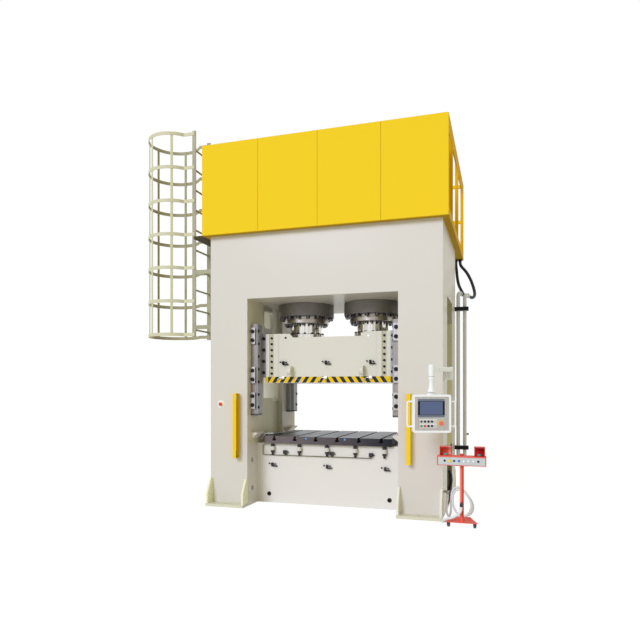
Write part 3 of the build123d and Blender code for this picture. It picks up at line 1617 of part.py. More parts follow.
# Castors: a swivelling fork with its pin and axle, and a wheel
axle_height = castor_wheel_diameter / 2
cheek_gap = castor_wheel_width + 2 * castor_wheel_gap
fork_top = castor_height - axial_clearance
for name, (x, y) in castor_places.items():
    axle_y = y + castor_trail
    with BuildPart() as castor_fork:
        with BuildSketch(Plane.XY.offset(fork_top - castor_fork_plate)):
            with Locations((x, y + castor_trail / 2)):
                Rectangle(cheek_gap + 2 * castor_cheek, castor_fork_length)
        extrude(amount=castor_fork_plate)
        with BuildSketch(Plane.XY.offset(fork_top)):
            with Locations((x, y)):
                Circle(castor_pin_diameter / 2)
        extrude(amount=stand_plate_thickness)
        for side in (-1, 1):
            inside = x + side * cheek_gap / 2
            with BuildSketch(Plane.YZ.offset(min(inside, inside + side * castor_cheek))):
                with BuildLine():
                    Polyline(
                        (y + castor_trail / 2 - castor_fork_length / 2, fork_top),
                        (y + castor_trail / 2 + castor_fork_length / 2, fork_top),
                        (axle_y + castor_axle_diameter, axle_height - castor_axle_diameter),
                        (axle_y - castor_axle_diameter, axle_height - castor_axle_diameter),
                        close=True,
                    )
                make_face()
            extrude(amount=castor_cheek)
        with BuildSketch(Plane.YZ.offset(x - cheek_gap / 2)):
            with Locations((axle_y, axle_height)):
                Circle(castor_axle_diameter / 2)
        extrude(amount=cheek_gap)
    write_piece(castor_fork, f"castor_fork_{name}")
    with BuildPart() as castor_wheel:
        with BuildSketch(Plane.YZ.offset(x - castor_wheel_width / 2)):
            with Locations((axle_y, axle_height)):
                Circle(castor_wheel_diameter / 2)
                Circle(castor_axle_diameter / 2 + running_clearance, mode=Mode.SUBTRACT)
        extrude(amount=castor_wheel_width)
    write_piece(castor_wheel, f"castor_wheel_{name}")
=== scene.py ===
"""Looks of a straight-side hydraulic press with its guarded deck, ladder, panel and stand."""

import logging
import math
from dataclasses import dataclass, field
from enum import Enum
from typing import Any, Optional, Sequence

import bmesh
import bpy
from mathutils import Matrix, Vector


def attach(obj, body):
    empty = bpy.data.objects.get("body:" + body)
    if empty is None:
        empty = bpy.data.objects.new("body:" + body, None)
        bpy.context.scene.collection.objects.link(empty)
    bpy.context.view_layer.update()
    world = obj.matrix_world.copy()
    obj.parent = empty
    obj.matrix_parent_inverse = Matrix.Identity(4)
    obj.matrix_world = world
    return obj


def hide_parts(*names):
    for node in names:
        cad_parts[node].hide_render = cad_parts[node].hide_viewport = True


Point = tuple[float, float, float]
Colour = tuple[float, float, float]
Patch = tuple[Point, Point, Colour]
Outline = Sequence[tuple[float, float]]
Recipe = tuple[str, dict[str, Any]]

LOG = logging.getLogger("press")
FRONT: Point = (0.0, -1.0, 0.0)
DOWN: Point = (0.0, 0.0, -1.0)
WHITE = (1.0, 1.0, 1.0, 1.0)
SIDES = ((-1, "left"), (1, "right"))

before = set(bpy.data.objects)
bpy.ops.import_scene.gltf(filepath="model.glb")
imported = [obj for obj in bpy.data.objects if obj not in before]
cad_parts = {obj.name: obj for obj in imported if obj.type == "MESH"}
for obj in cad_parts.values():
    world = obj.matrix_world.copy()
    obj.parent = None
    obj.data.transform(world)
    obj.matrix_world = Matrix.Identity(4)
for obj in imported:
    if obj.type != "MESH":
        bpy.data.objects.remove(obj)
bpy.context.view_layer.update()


class Body(str, Enum):
    """The bodies that the pieces ride on."""

    PRESS = "press"
    SLIDE = "slide"
    ARM = "pendant_arm"
    PANEL = "pendant_panel"


class Layout(Enum):
    """How fasteners are laid out."""

    ROW = "row"
    RING = "ring"


# Node graphs


class Term:
    """A socket in a formula. Python operators on it add Math nodes."""

    def __init__(self, graph: "Graph", socket: bpy.types.NodeSocket) -> None:
        """Keep the graph that the formula grows in.

        Args:
            graph: The graph that gets the Math nodes.
            socket: The value that this term stands for.
        """
        self.graph = graph
        self.socket = socket

    def _math(self, operation: str, first: Any, second: Any) -> "Term":
        """Add one Math node.

        Args:
            operation: The node's operation.
            first: Its first value, a term or a number.
            second: Its second value, a term or a number.

        Returns:
            The result as a term.
        """
        return self.graph.term("ShaderNodeMath", {"operation": operation}, {0: first, 1: second})

    def __add__(self, other: Any) -> "Term":
        """Sum."""
        return self._math("ADD", self, other)

    __radd__ = __add__

    def __sub__(self, other: Any) -> "Term":
        """Difference."""
        return self._math("SUBTRACT", self, other)

    def __rsub__(self, other: Any) -> "Term":
        """Difference from a number."""
        return self._math("SUBTRACT", other, self)

    def __mul__(self, other: Any) -> "Term":
        """Product."""
        return self._math("MULTIPLY", self, other)

    __rmul__ = __mul__

    def __mod__(self, other: Any) -> "Term":
        """Remainder, never below nought."""
        return self._math("FLOORED_MODULO", self, other)

    def __gt__(self, other: Any) -> "Term":
        """One where this is greater."""
        return self._math("GREATER_THAN", self, other)

    def __lt__(self, other: Any) -> "Term":
        """One where this is less."""
        return self._math("LESS_THAN", self, other)

    def __abs__(self) -> "Term":
        """Size without sign."""
        return self._math("ABSOLUTE", self, 0.0)

    def between(self, low: float, high: float) -> "Term":
        """One where this lies between two numbers."""
        return (self > low) * (self < high)


class Graph:
    """A node tree that grows by one method."""

    def __init__(self, tree: bpy.types.NodeTree) -> None:
        """Keep the tree.

        Args:
            tree: A shader or geometry node tree.
        """
        self.tree = tree

    def node(
        self, kind: str, settings: Optional[dict[str, Any]] = None, values: Optional[dict[Any, Any]] = None
    ) -> bpy.types.Node:
        """Add a node, set its settings, then its sockets.

        Args:
            kind: The node's type.
            settings: Properties of the node, which are set first.
            values: Socket names or numbers to numbers, terms or sockets.

        Returns:
            The new node.
        """
        made = self.tree.nodes.new(kind)
        for key, value in (settings or {}).items():
            setattr(made, key, value)
        for key, value in (values or {}).items():
            source = value.socket if isinstance(value, Term) else value
            if isinstance(source, bpy.types.NodeSocket):
                self.tree.links.new(source, made.inputs[key])
            else:
                made.inputs[key].default_value = source
        return made

    def term(
        self,
        kind: str,
        settings: Optional[dict[str, Any]] = None,
        values: Optional[dict[Any, Any]] = None,
        output: Any = 0,
    ) -> Term:
        """Add a node and take one output as a term.

        Args:
            kind: The node's type.
            settings: Properties of the node.
            values: Socket names or numbers to values.
            output: The output's name or number.

        Returns:
            The output as a term.
        """
        return Term(self, self.node(kind, settings, values).outputs[output])


class Skin(Graph):
    """The node graph of one material, with the patterns that the finishes share."""

    def __init__(self, name: str) -> None:
        """Make an empty material.

        Args:
            name: The material's name.
        """
        self.material = bpy.data.materials.new(name)
        self.material.use_nodes = True
        super().__init__(self.material.node_tree)
        self.tree.nodes.clear()
        self.place = self.term("ShaderNodeTexCoord", output="Object")

    def stretched(self, scale: Point) -> Term:
        """Object coordinates, scaled along each axis."""
        return self.term("ShaderNodeMapping", None, {"Vector": self.place, "Scale": scale})

    def turned(self, centre: Point, angle: float) -> Term:
        """Object coordinates seen from a centre that is turned about Z.

        Args:
            centre: The new origin.
            angle: The turn in radians.

        Returns:
            Coordinates in the turned frame.
        """
        values = {0: self.place, 1: centre}
        moved = self.term("ShaderNodeVectorMath", {"operation": "SUBTRACT"}, values, output="Vector")
        return self.term("ShaderNodeMapping", None, {"Vector": moved, "Rotation": (0.0, 0.0, -angle)})

    def noise(self, scale: float, detail: float = 3.0, place: Optional[Term] = None) -> Term:
        """Noise from 0 to 1.

        Args:
            scale: Features per metre.
            detail: Octaves.
            place: Coordinates, else the object's.

        Returns:
            The noise's value.
        """
        values = {"Vector": place or self.place, "Scale": scale, "Detail": detail}
        return self.term("ShaderNodeTexNoise", {"noise_dimensions": "3D"}, values, output="Fac")

    def axes(self, place: Optional[Term] = None) -> tuple[Term, Term, Term]:
        """The three coordinates as terms."""
        split = self.node("ShaderNodeSeparateXYZ", None, {0: place or self.place})
        return tuple(Term(self, socket) for socket in split.outputs)

    def inside(self, low: Point, high: Point, place: Optional[Term] = None) -> Term:
        """One inside a box and nought outside it."""
        x, y, z = self.axes(place)
        return x.between(low[0], high[0]) * y.between(low[1], high[1]) * z.between(low[2], high[2])

    def blend(self, factor: Any, first: Any, second: Any) -> Term:
        """A colour between two colours.

        Args:
            factor: Share of the second.
            first: A colour or a term.
            second: A colour or a term.

        Returns:
            The mixed colour.
        """
        first = first if isinstance(first, Term) else (*first, 1.0)
        second = second if isinstance(second, Term) else (*second, 1.0)
        return self.term("ShaderNodeMix", {"data_type": "RGBA"}, {0: factor, 6: first, 7: second}, output=2)

    def bump(self, height: Term, strength: float, distance: float) -> Term:
        """A normal from a height.

        Args:
            height: The height pattern.
            strength: Share of the effect.
            distance: Depth of the pattern in metres.

        Returns:
            The bent normal.
        """
        values = {"Height": height, "Strength": strength, "Distance": distance}
        return self.term("ShaderNodeBump", None, values)

    def close(self, values: dict[str, Any]) -> bpy.types.Material:
        """Add the surface shader and the output.

        Args:
            values: Sockets of the Principled shader.

        Returns:
            The finished material.
        """
        shader = self.node("ShaderNodeBsdfPrincipled", None, values)
        self.node("ShaderNodeOutputMaterial", None, {"Surface": shader.outputs[0]})
        return self.material


def darker(colour: Colour, share: float) -> Colour:
    """A colour times a share."""
    return (colour[0] * share, colour[1] * share, colour[2] * share)


# Finishes


@dataclass(frozen=True)
class Paint:
    """Sprayed enamel: slight cloudiness, orange peel, dust near the floor and patches of another colour, many of
    them painted light and shade.
    """

    name: str
    colour: Colour
    roughness: float = 0.36
    coat: float = 0.1
    gloss: float = 0.35
    cloud: float = 0.04
    peel: float = 0.12
    dust: float = 0.0
    dust_top: float = 1.2
    dust_colour: Colour = (0.32, 0.29, 0.22)
    patches: tuple[Patch, ...] = ()

    def make(self) -> bpy.types.Material:
        """Build the paint.

        Returns:
            The material.
        """
        skin = Skin(self.name)
        cloud = skin.noise(1.7, 4.0)
        colour = skin.blend(cloud, self.colour, darker(self.colour, 1 - self.cloud))
        speck = skin.noise(260.0, 2.0)
        if self.dust > 0:
            height = skin.axes()[2]
            low = (height < self.dust_top) * (self.dust_top - height) * 0.8 * skin.noise(6.0, 5.0)
            colour = skin.blend(low * self.dust, colour, self.dust_colour)
        # Flat colour in boxes; many of the patches are painted light and shade.
        for low_corner, high_corner, patch in self.patches:
            colour = skin.blend(skin.inside(low_corner, high_corner), colour, patch)
        rough = skin.noise(9.0, 4.0) * 0.12 + (self.roughness - 0.06)
        normal = skin.bump(speck, self.peel, 0.0004)
        return skin.close({
            "Base Color": colour, "Roughness": rough, "Coat Weight": self.coat, "Coat Roughness": 0.12,
            "Specular IOR Level": self.gloss, "Normal": normal,
        })


@dataclass(frozen=True)
class Steel:
    """Bare metal with a machining grain along one direction; a strong streak paints bands of reflection along it.
    """

    name: str
    colour: Colour
    roughness: float = 0.3
    grain: Point = (400.0, 400.0, 6.0)
    mottle: float = 0.25
    relief: float = 0.12
    metal: float = 1.0
    grain_and_reflection_streak: float = 0.1
    stained: float = 0.35

    def make(self) -> bpy.types.Material:
        """Build the metal.

        Returns:
            The material.
        """
        skin = Skin(self.name)
        lines = skin.noise(1.0, 3.0, skin.stretched(self.grain))
        stain = skin.noise(7.0, 5.0)
        share = stain * self.mottle + (lines - 0.4) * self.grain_and_reflection_streak
        colour = skin.blend(share, self.colour, darker(self.colour, self.stained))
        rough = lines * 0.16 + stain * 0.1 + (self.roughness - 0.13)
        normal = skin.bump(lines, self.relief, 0.0005)
        return skin.close({
            "Base Color": colour, "Metallic": self.metal, "Roughness": rough, "Normal": normal,
        })


@dataclass(frozen=True)
class RailSteel:
    """Ground guide steel: brownish front faces, bluish running faces and dark lower ends."""

    name: str = "rail_grey"
    front: Colour = (0.36, 0.315, 0.29)
    blocks: Colour = (0.60, 0.55, 0.52)
    running: Colour = (0.54, 0.55, 0.57)
    dark: Colour = (0.055, 0.055, 0.06)
    front_face: float = 0.8785
    block_face: float = 0.8815
    light_band: float = 0.83
    low_end: float = 1.338

    def make(self) -> bpy.types.Material:
        """Build the steel.

        Returns:
            The material.
        """
        skin = Skin(self.name)
        _, y, z = skin.axes()
        lines = skin.noise(1.0, 3.0, skin.stretched((110.0, 110.0, 1.5)))
        stain = skin.noise(6.0, 5.0)
        depth = abs(y)
        running = skin.blend((depth < self.light_band) * 0.5, self.running, darker(self.running, 0.55))
        colour = skin.blend(depth > self.front_face, running, self.front)
        colour = skin.blend(depth > self.block_face, colour, self.blocks)
        colour = skin.blend((lines - 0.35) * 0.9 + stain * 0.2, colour, self.dark)
        colour = skin.blend((z < self.low_end) * 0.85, colour, self.dark)
        rough = lines * 0.15 + stain * 0.1 + 0.35
        normal = skin.bump(lines, 0.1, 0.0005)
        return skin.close({"Base Color": colour, "Metallic": 0.5, "Roughness": rough, "Normal": normal})


@dataclass(frozen=True)
class Plastic:
    """Moulded plastic with a faint grain."""

    name: str
    colour: Colour
    roughness: float = 0.3
    grain: float = 0.05
    shade: float = 0.88

    def make(self) -> bpy.types.Material:
        """Build the plastic.

        Returns:
            The material.
        """
        skin = Skin(self.name)
        colour = skin.blend(skin.noise(30.0), self.colour, darker(self.colour, self.shade))
        rough = skin.noise(80.0) * 0.1 + (self.roughness - 0.05)
        normal = skin.bump(skin.noise(900.0, 2.0), self.grain, 0.0003)
        return skin.close({"Base Color": colour, "Roughness": rough, "Normal": normal})


@dataclass(frozen=True)
class Rubber:
    """Black or grey rubber with rubbed spots."""

    name: str
    colour: Colour
    roughness: float = 0.55
    lift: float = 0.05

    def make(self) -> bpy.types.Material:
        """Build the rubber.

        Returns:
            The material.
        """
        skin = Skin(self.name)
        rubbed = skin.noise(40.0, 5.0)
        lighter = tuple(channel + self.lift for channel in self.colour)
        colour = skin.blend(rubbed, self.colour, lighter)
        rough = rubbed * 0.2 + (self.roughness - 0.1)
        normal = skin.bump(skin.noise(500.0), 0.2, 0.0004)
        return skin.close({"Base Color": colour, "Roughness": rough, "Normal": normal})


@dataclass(frozen=True)
class HazardPaint:
    """Yellow and black stripes that lean towards the middle, over a machined underside."""

    name: str = "hazard_stripes"
    yellow: Colour = (1.0, 0.66, 0.002)
    black: Colour = (0.014, 0.016, 0.032)
    worn: Colour = (0.55, 0.56, 0.62)
    worn_span: tuple[float, float] = (-0.475, -0.385)
    metal: Colour = (0.55, 0.55, 0.58)
    pitch: float = 0.118
    lean: float = 0.65
    face: float = 0.685
    underside: float = 1.7925
    half_length: float = 0.905
    gloss: float = 0.2

    def make(self) -> bpy.types.Material:
        """Build the stripes.

        Returns:
            The material.
        """
        skin = Skin(self.name)
        x, y, z = skin.axes()
        left = (x - z * self.lean) % self.pitch < self.pitch / 2
        right = (x + z * self.lean) % self.pitch < self.pitch / 2
        half = x > 0.0
        stripe = left * (1 - half) + right * half
        chipped = skin.noise(45.0, 6.0) < 0.66
        shown = stripe * chipped * (abs(y) > self.face) * (abs(x) < self.half_length)
        yellow = skin.blend(skin.noise(12.0), self.yellow, darker(self.yellow, 0.82))
        colour = skin.blend(shown, yellow, self.black)
        worn = x.between(*self.worn_span) * (1 - stripe) * (y < -self.face)
        colour = skin.blend(worn * 0.9, colour, self.worn)
        bare = z < self.underside
        colour = skin.blend(bare, colour, self.metal)
        rough = skin.noise(20.0) * 0.2 + 0.3
        return skin.close({
            "Base Color": colour, "Metallic": bare * 0.9, "Roughness": rough,
            "Specular IOR Level": self.gloss,
        })


@dataclass(frozen=True)
class BolsterSteel:
    """Oily dark plate: a ground top with milling marks, and blackened edges with painted light towards the left
    and painted shade towards the right.
    """

    name: str = "bolster_steel"
    top_colour: Colour = (0.23, 0.24, 0.26)
    edge_colour: Colour = (0.022, 0.022, 0.028)
    painted_light_left: Colour = (0.22, 0.185, 0.190)
    painted_shade_right: Colour = (0.003, 0.005, 0.012)
    rust_colour: Colour = (0.16, 0.09, 0.055)
    top: float = 0.9985
    gloss: float = 0.18

    def make(self) -> bpy.types.Material:
        """Build the steel.

        Returns:
            The material.
        """
        skin = Skin(self.name)
        x, _, z = skin.axes()
        milling = skin.noise(1.0, 3.0, skin.stretched((9.0, 140.0, 9.0)))
        oil = skin.noise(3.5, 6.0)
        surface = skin.blend(oil, self.top_colour, darker(self.top_colour, 0.35))
        # Painted light and shade: the edges run from lighter at the left to darker at the right.
        across = x * 0.5 + 0.5
        painted_light_ramp = skin.blend(across, self.painted_light_left, self.painted_shade_right)
        rust = skin.noise(7.0, 6.0) * (1 - across)
        edge = skin.blend(skin.noise(10.0, 5.0) * 0.35, painted_light_ramp, self.edge_colour)
        edge = skin.blend((rust - 0.3) * 1.2, edge, self.rust_colour)
        on_top = z > self.top
        colour = skin.blend(on_top, edge, surface)
        rough = milling * 0.15 + oil * 0.25 + 0.18
        normal = skin.bump(milling, 0.15, 0.0005)
        metal = on_top * 0.55 + 0.2
        return skin.close({
            "Base Color": colour, "Metallic": metal, "Roughness": rough, "Normal": normal,
            "Specular IOR Level": self.gloss,
        })


@dataclass(frozen=True)
class ScreenGlass:
    """A dark display behind glass, with its slate picture area."""

    name: str = "screen_glass"
    frame_colour: Colour = (0.17, 0.20, 0.25)
    bezel: Colour = (0.008, 0.008, 0.018)
    picture: Colour = (0.112, 0.150, 0.27)
    centre: Point = (1.6104, -1.6724, 1.4705)
    turn: float = math.radians(17.5)
    bezel_half: tuple[float, float] = (0.1605, 0.0835)
    picture_half: tuple[float, float] = (0.137, 0.079)
    coat: float = 0.05
    gloss: float = 0.15

    def make(self) -> bpy.types.Material:
        """Build the glass.

        Returns:
            The material.
        """
        skin = Skin(self.name)
        x, _, z = skin.axes(skin.turned(self.centre, self.turn))
        in_bezel = (abs(x) < self.bezel_half[0]) * (abs(z) < self.bezel_half[1])
        in_picture = (abs(x) < self.picture_half[0]) * (abs(z) < self.picture_half[1])
        colour = skin.blend(in_bezel, self.frame_colour, self.bezel)
        colour = skin.blend(in_picture, colour, self.picture)
        smear = skin.noise(18.0, 5.0)
        rough = smear * 0.12 + 0.12 + (1 - in_bezel) * 0.2
        return skin.close({
            "Base Color": colour, "Roughness": rough, "Coat Weight": self.coat,
            "Specular IOR Level": self.gloss,
        })


@dataclass(frozen=True)
class TreadPlate:
    """Painted chequer plate on the deck, with worn raised bars, and painted shade under the deck and on the
    landing's sides and underside.
    """

    name: str = "deck_yellow"
    colour: Colour = (0.84, 0.50, 0.012)
    top: float = 4.008
    pitch: float = 28.0
    landing_edge: float = -1.777
    landing_painted_shade: Colour = (0.075, 0.065, 0.030)
    long_span: tuple[float, float] = (0.12, 0.88)
    short_span: tuple[float, float] = (0.38, 0.62)
    worn: Colour = (0.35, 0.34, 0.32)
    under: float = 3.951
    under_painted_shade: Colour = (0.10, 0.05, 0.01)
    gloss: float = 0.08

    def make(self) -> bpy.types.Material:
        """Build the plate.

        Returns:
            The material.
        """
        skin = Skin(self.name)
        x, y, z = skin.axes()
        cell_x = (x + y) * self.pitch % 1.0
        cell_y = (x - y) * self.pitch % 1.0
        row = ((x + y) * self.pitch % 2.0) > 1.0
        along = cell_x.between(*self.long_span) * cell_y.between(*self.short_span) * row
        across = cell_y.between(*self.long_span) * cell_x.between(*self.short_span) * (1 - row)
        bars = (along + across) * (z > self.top)
        wear = bars * (skin.noise(5.0, 5.0) > 0.5)
        colour = skin.blend(skin.noise(2.0), self.colour, darker(self.colour, 0.85))
        colour = skin.blend(wear * 0.6, colour, self.worn)
        # Painted shade: dark brown on the landing's sides and underside, brown under the deck.
        colour = skin.blend((x < self.landing_edge) * (z < self.top), colour, self.landing_painted_shade)
        colour = skin.blend((z < self.under) * 0.35, colour, self.under_painted_shade)
        normal = skin.bump(bars, 0.6, 0.002)
        return skin.close({
            "Base Color": colour, "Roughness": 0.6, "Specular IOR Level": self.gloss, "Normal": normal,
        })


# Where a finish differs from place to place: mostly painted light and shade, with a few real colours


def both_sides(low: Point, high: Point, colour: Colour) -> tuple[Patch, Patch]:
    """A patch on the right-hand side and its mirror image on the left."""
    return (low, high, colour), ((-high[0], low[1], low[2]), (-low[0], high[1], high[2]), colour)


def both_ends(low: Point, high: Point, colour: Colour) -> tuple[Patch, Patch]:
    """A patch behind the middle and its mirror image before it."""
    return (low, high, colour), ((low[0], -high[1], low[2]), (high[0], -low[1], high[2]), colour)


def frame_patches() -> tuple[Patch, ...]:
    """Painted light and shade on the frame's cream. A later patch covers an earlier one.

    Returns:
        Painted shade in the side recesses, on the faces in the opening, in the holes and on the feet; painted
        light and shade down the recesses' rear walls; painted light on the bed's front, the windows' edges and
        the gussets.
    """
    painted_light = (0.90, 0.91, 0.90)
    return (
        # Painted shade in both side recesses; below 0.86 m they are darker still.
        *both_sides((1.17, -0.41, 0.86), (1.6885, 0.4055, 3.3), (0.50, 0.48, 0.41)),
        *both_sides((1.17, -0.41, 0.0), (1.6885, 0.4055, 0.86), (0.33, 0.30, 0.21)),
        # Painted light and shade on the right recess's rear wall: lightest low down, darkest at the top.
        ((1.17, 0.15, 0.86), (1.6885, 0.4055, 1.95), (0.95, 0.91, 0.60)),
        ((1.17, 0.15, 1.95), (1.6885, 0.4055, 2.70), (0.80, 0.76, 0.53)),
        ((1.17, 0.15, 2.70), (1.6885, 0.4055, 3.3), (0.56, 0.53, 0.38)),
        # Painted shade low on the left recess's rear wall and painted light above 1.5 m.
        ((-1.6885, 0.15, 0.86), (-1.17, 0.4055, 1.5), (0.70, 0.67, 0.50)),
        ((-1.6885, 0.15, 1.5), (-1.17, 0.4055, 3.3), (0.98, 0.97, 0.90)),
        # Painted light on the bed's recessed front.
        ((-1.0995, -0.63, 0.0), (1.0995, -0.62, 0.888), (0.84, 0.80, 0.735)),
        # Painted shade on the columns' webs and on their inner faces in the opening.
        *both_sides((1.165, -0.41, 0.86), (1.24, 0.15, 1.5553), (0.80, 0.77, 0.55)),
        *both_sides((1.0995, -1.0045, 0.89), (1.13, -0.41, 3.3), (0.76, 0.71, 0.53)),
        # Painted shade inside the bed's holes.
        *both_sides((0.88, -0.6242, 0.096), (0.948, 0.6242, 0.164), (0.05, 0.045, 0.035)),
        # Painted light on the rear edges of the windows and vents.
        *both_sides((1.1, 0.36, 1.55), (1.24, 0.395, 2.455), painted_light),
        *both_sides((1.1, 0.16, 2.665), (1.24, 0.20, 2.955), painted_light),
        # Painted light on the gussets, warmer on the left than on the right, and painted shade on the feet's
        # plates.
        *both_ends((-1.70, 1.0065, 0.041), (0.0, 1.2, 0.40), (0.96, 0.93, 0.66)),
        *both_ends((0.0, 1.0065, 0.041), (1.70, 1.2, 0.40), (0.88, 0.87, 0.76)),
        *both_ends((-1.70, 1.0065, -0.01), (1.70, 1.2, 0.0405), (0.72, 0.70, 0.54)),
    )


def bed_patches() -> tuple[Patch, ...]:
    """The brownish air line under the bolster and the brass tips of its valves.

    Returns:
        The patches.
    """
    line = ((-1.02, -0.66, 0.708), (0.66, -0.64, 0.90), (0.15, 0.12, 0.07))
    brass = (0.75, 0.6, 0.15)
    return line, *(((x - 0.02, -0.70, 0.74), (x + 0.02, -0.6655, 0.79), brass) for x in (-0.65, 0.07, 0.65))


# Painted shade on the side strips' fronts and painted light on the slide's left end.
SLIDE_LIGHT_AND_SHADE: tuple[Patch, ...] = (
    *both_sides((0.814, -0.6795, 1.8), (0.886, -0.676, 2.6), (0.60, 0.555, 0.40)),
    ((-0.942, -0.691, 1.8), (-0.885, -0.66, 2.6), (0.80, 0.775, 0.69)),
)
# Painted shade on the hood's right end and the post's right side; painted highlights on the hood's left end and
# the post's left side.
STAND_LIGHT_AND_SHADE: tuple[Patch, ...] = (
    ((2.10, -1.462, 0.872), (2.25, -1.31, 0.995), (0.60, 0.012, 0.016)),
    ((1.79, -1.462, 0.885), (1.83, -1.31, 0.992), (1.0, 0.46, 0.42)),
    ((1.92, -1.42, 0.12), (1.944, -1.36, 0.765), (1.0, 0.42, 0.36)),
    ((1.966, -1.42, 0.12), (1.99, -1.36, 0.765), (0.66, 0.035, 0.02)),
)
CLAMP_PATCHES: tuple[Patch, ...] = (
    ((1.69, -0.90, 0.28), (1.80, -0.80, 0.42), (0.40, 0.39, 0.34)),
    ((1.92, -1.48, 0.24), (2.00, -1.40, 0.36), (0.05, 0.05, 0.055)),
)
# Painted light on the cage's front half and painted shade on its rear half.
CAGE_LIGHT_AND_SHADE: tuple[Patch, ...] = (
    ((-3.0, -1.1, 2.4), (-2.06, -0.62, 5.7), (0.70, 0.675, 0.47)),
    ((-3.0, -0.60, 2.4), (-2.06, -0.10, 5.7), (0.43, 0.40, 0.25)),
)
# Painted shade on the guard's side faces.
GUARD_PAINTED_SHADE = both_sides((1.729, -1.055, 4.0), (1.781, 1.76, 5.3), (0.86, 0.50, 0.006))
SENSOR_PATCHES = both_sides((1.2295, -1.0785, 0.739), (1.2765, -1.0465, 1.596), (0.88, 0.50, 0.015))


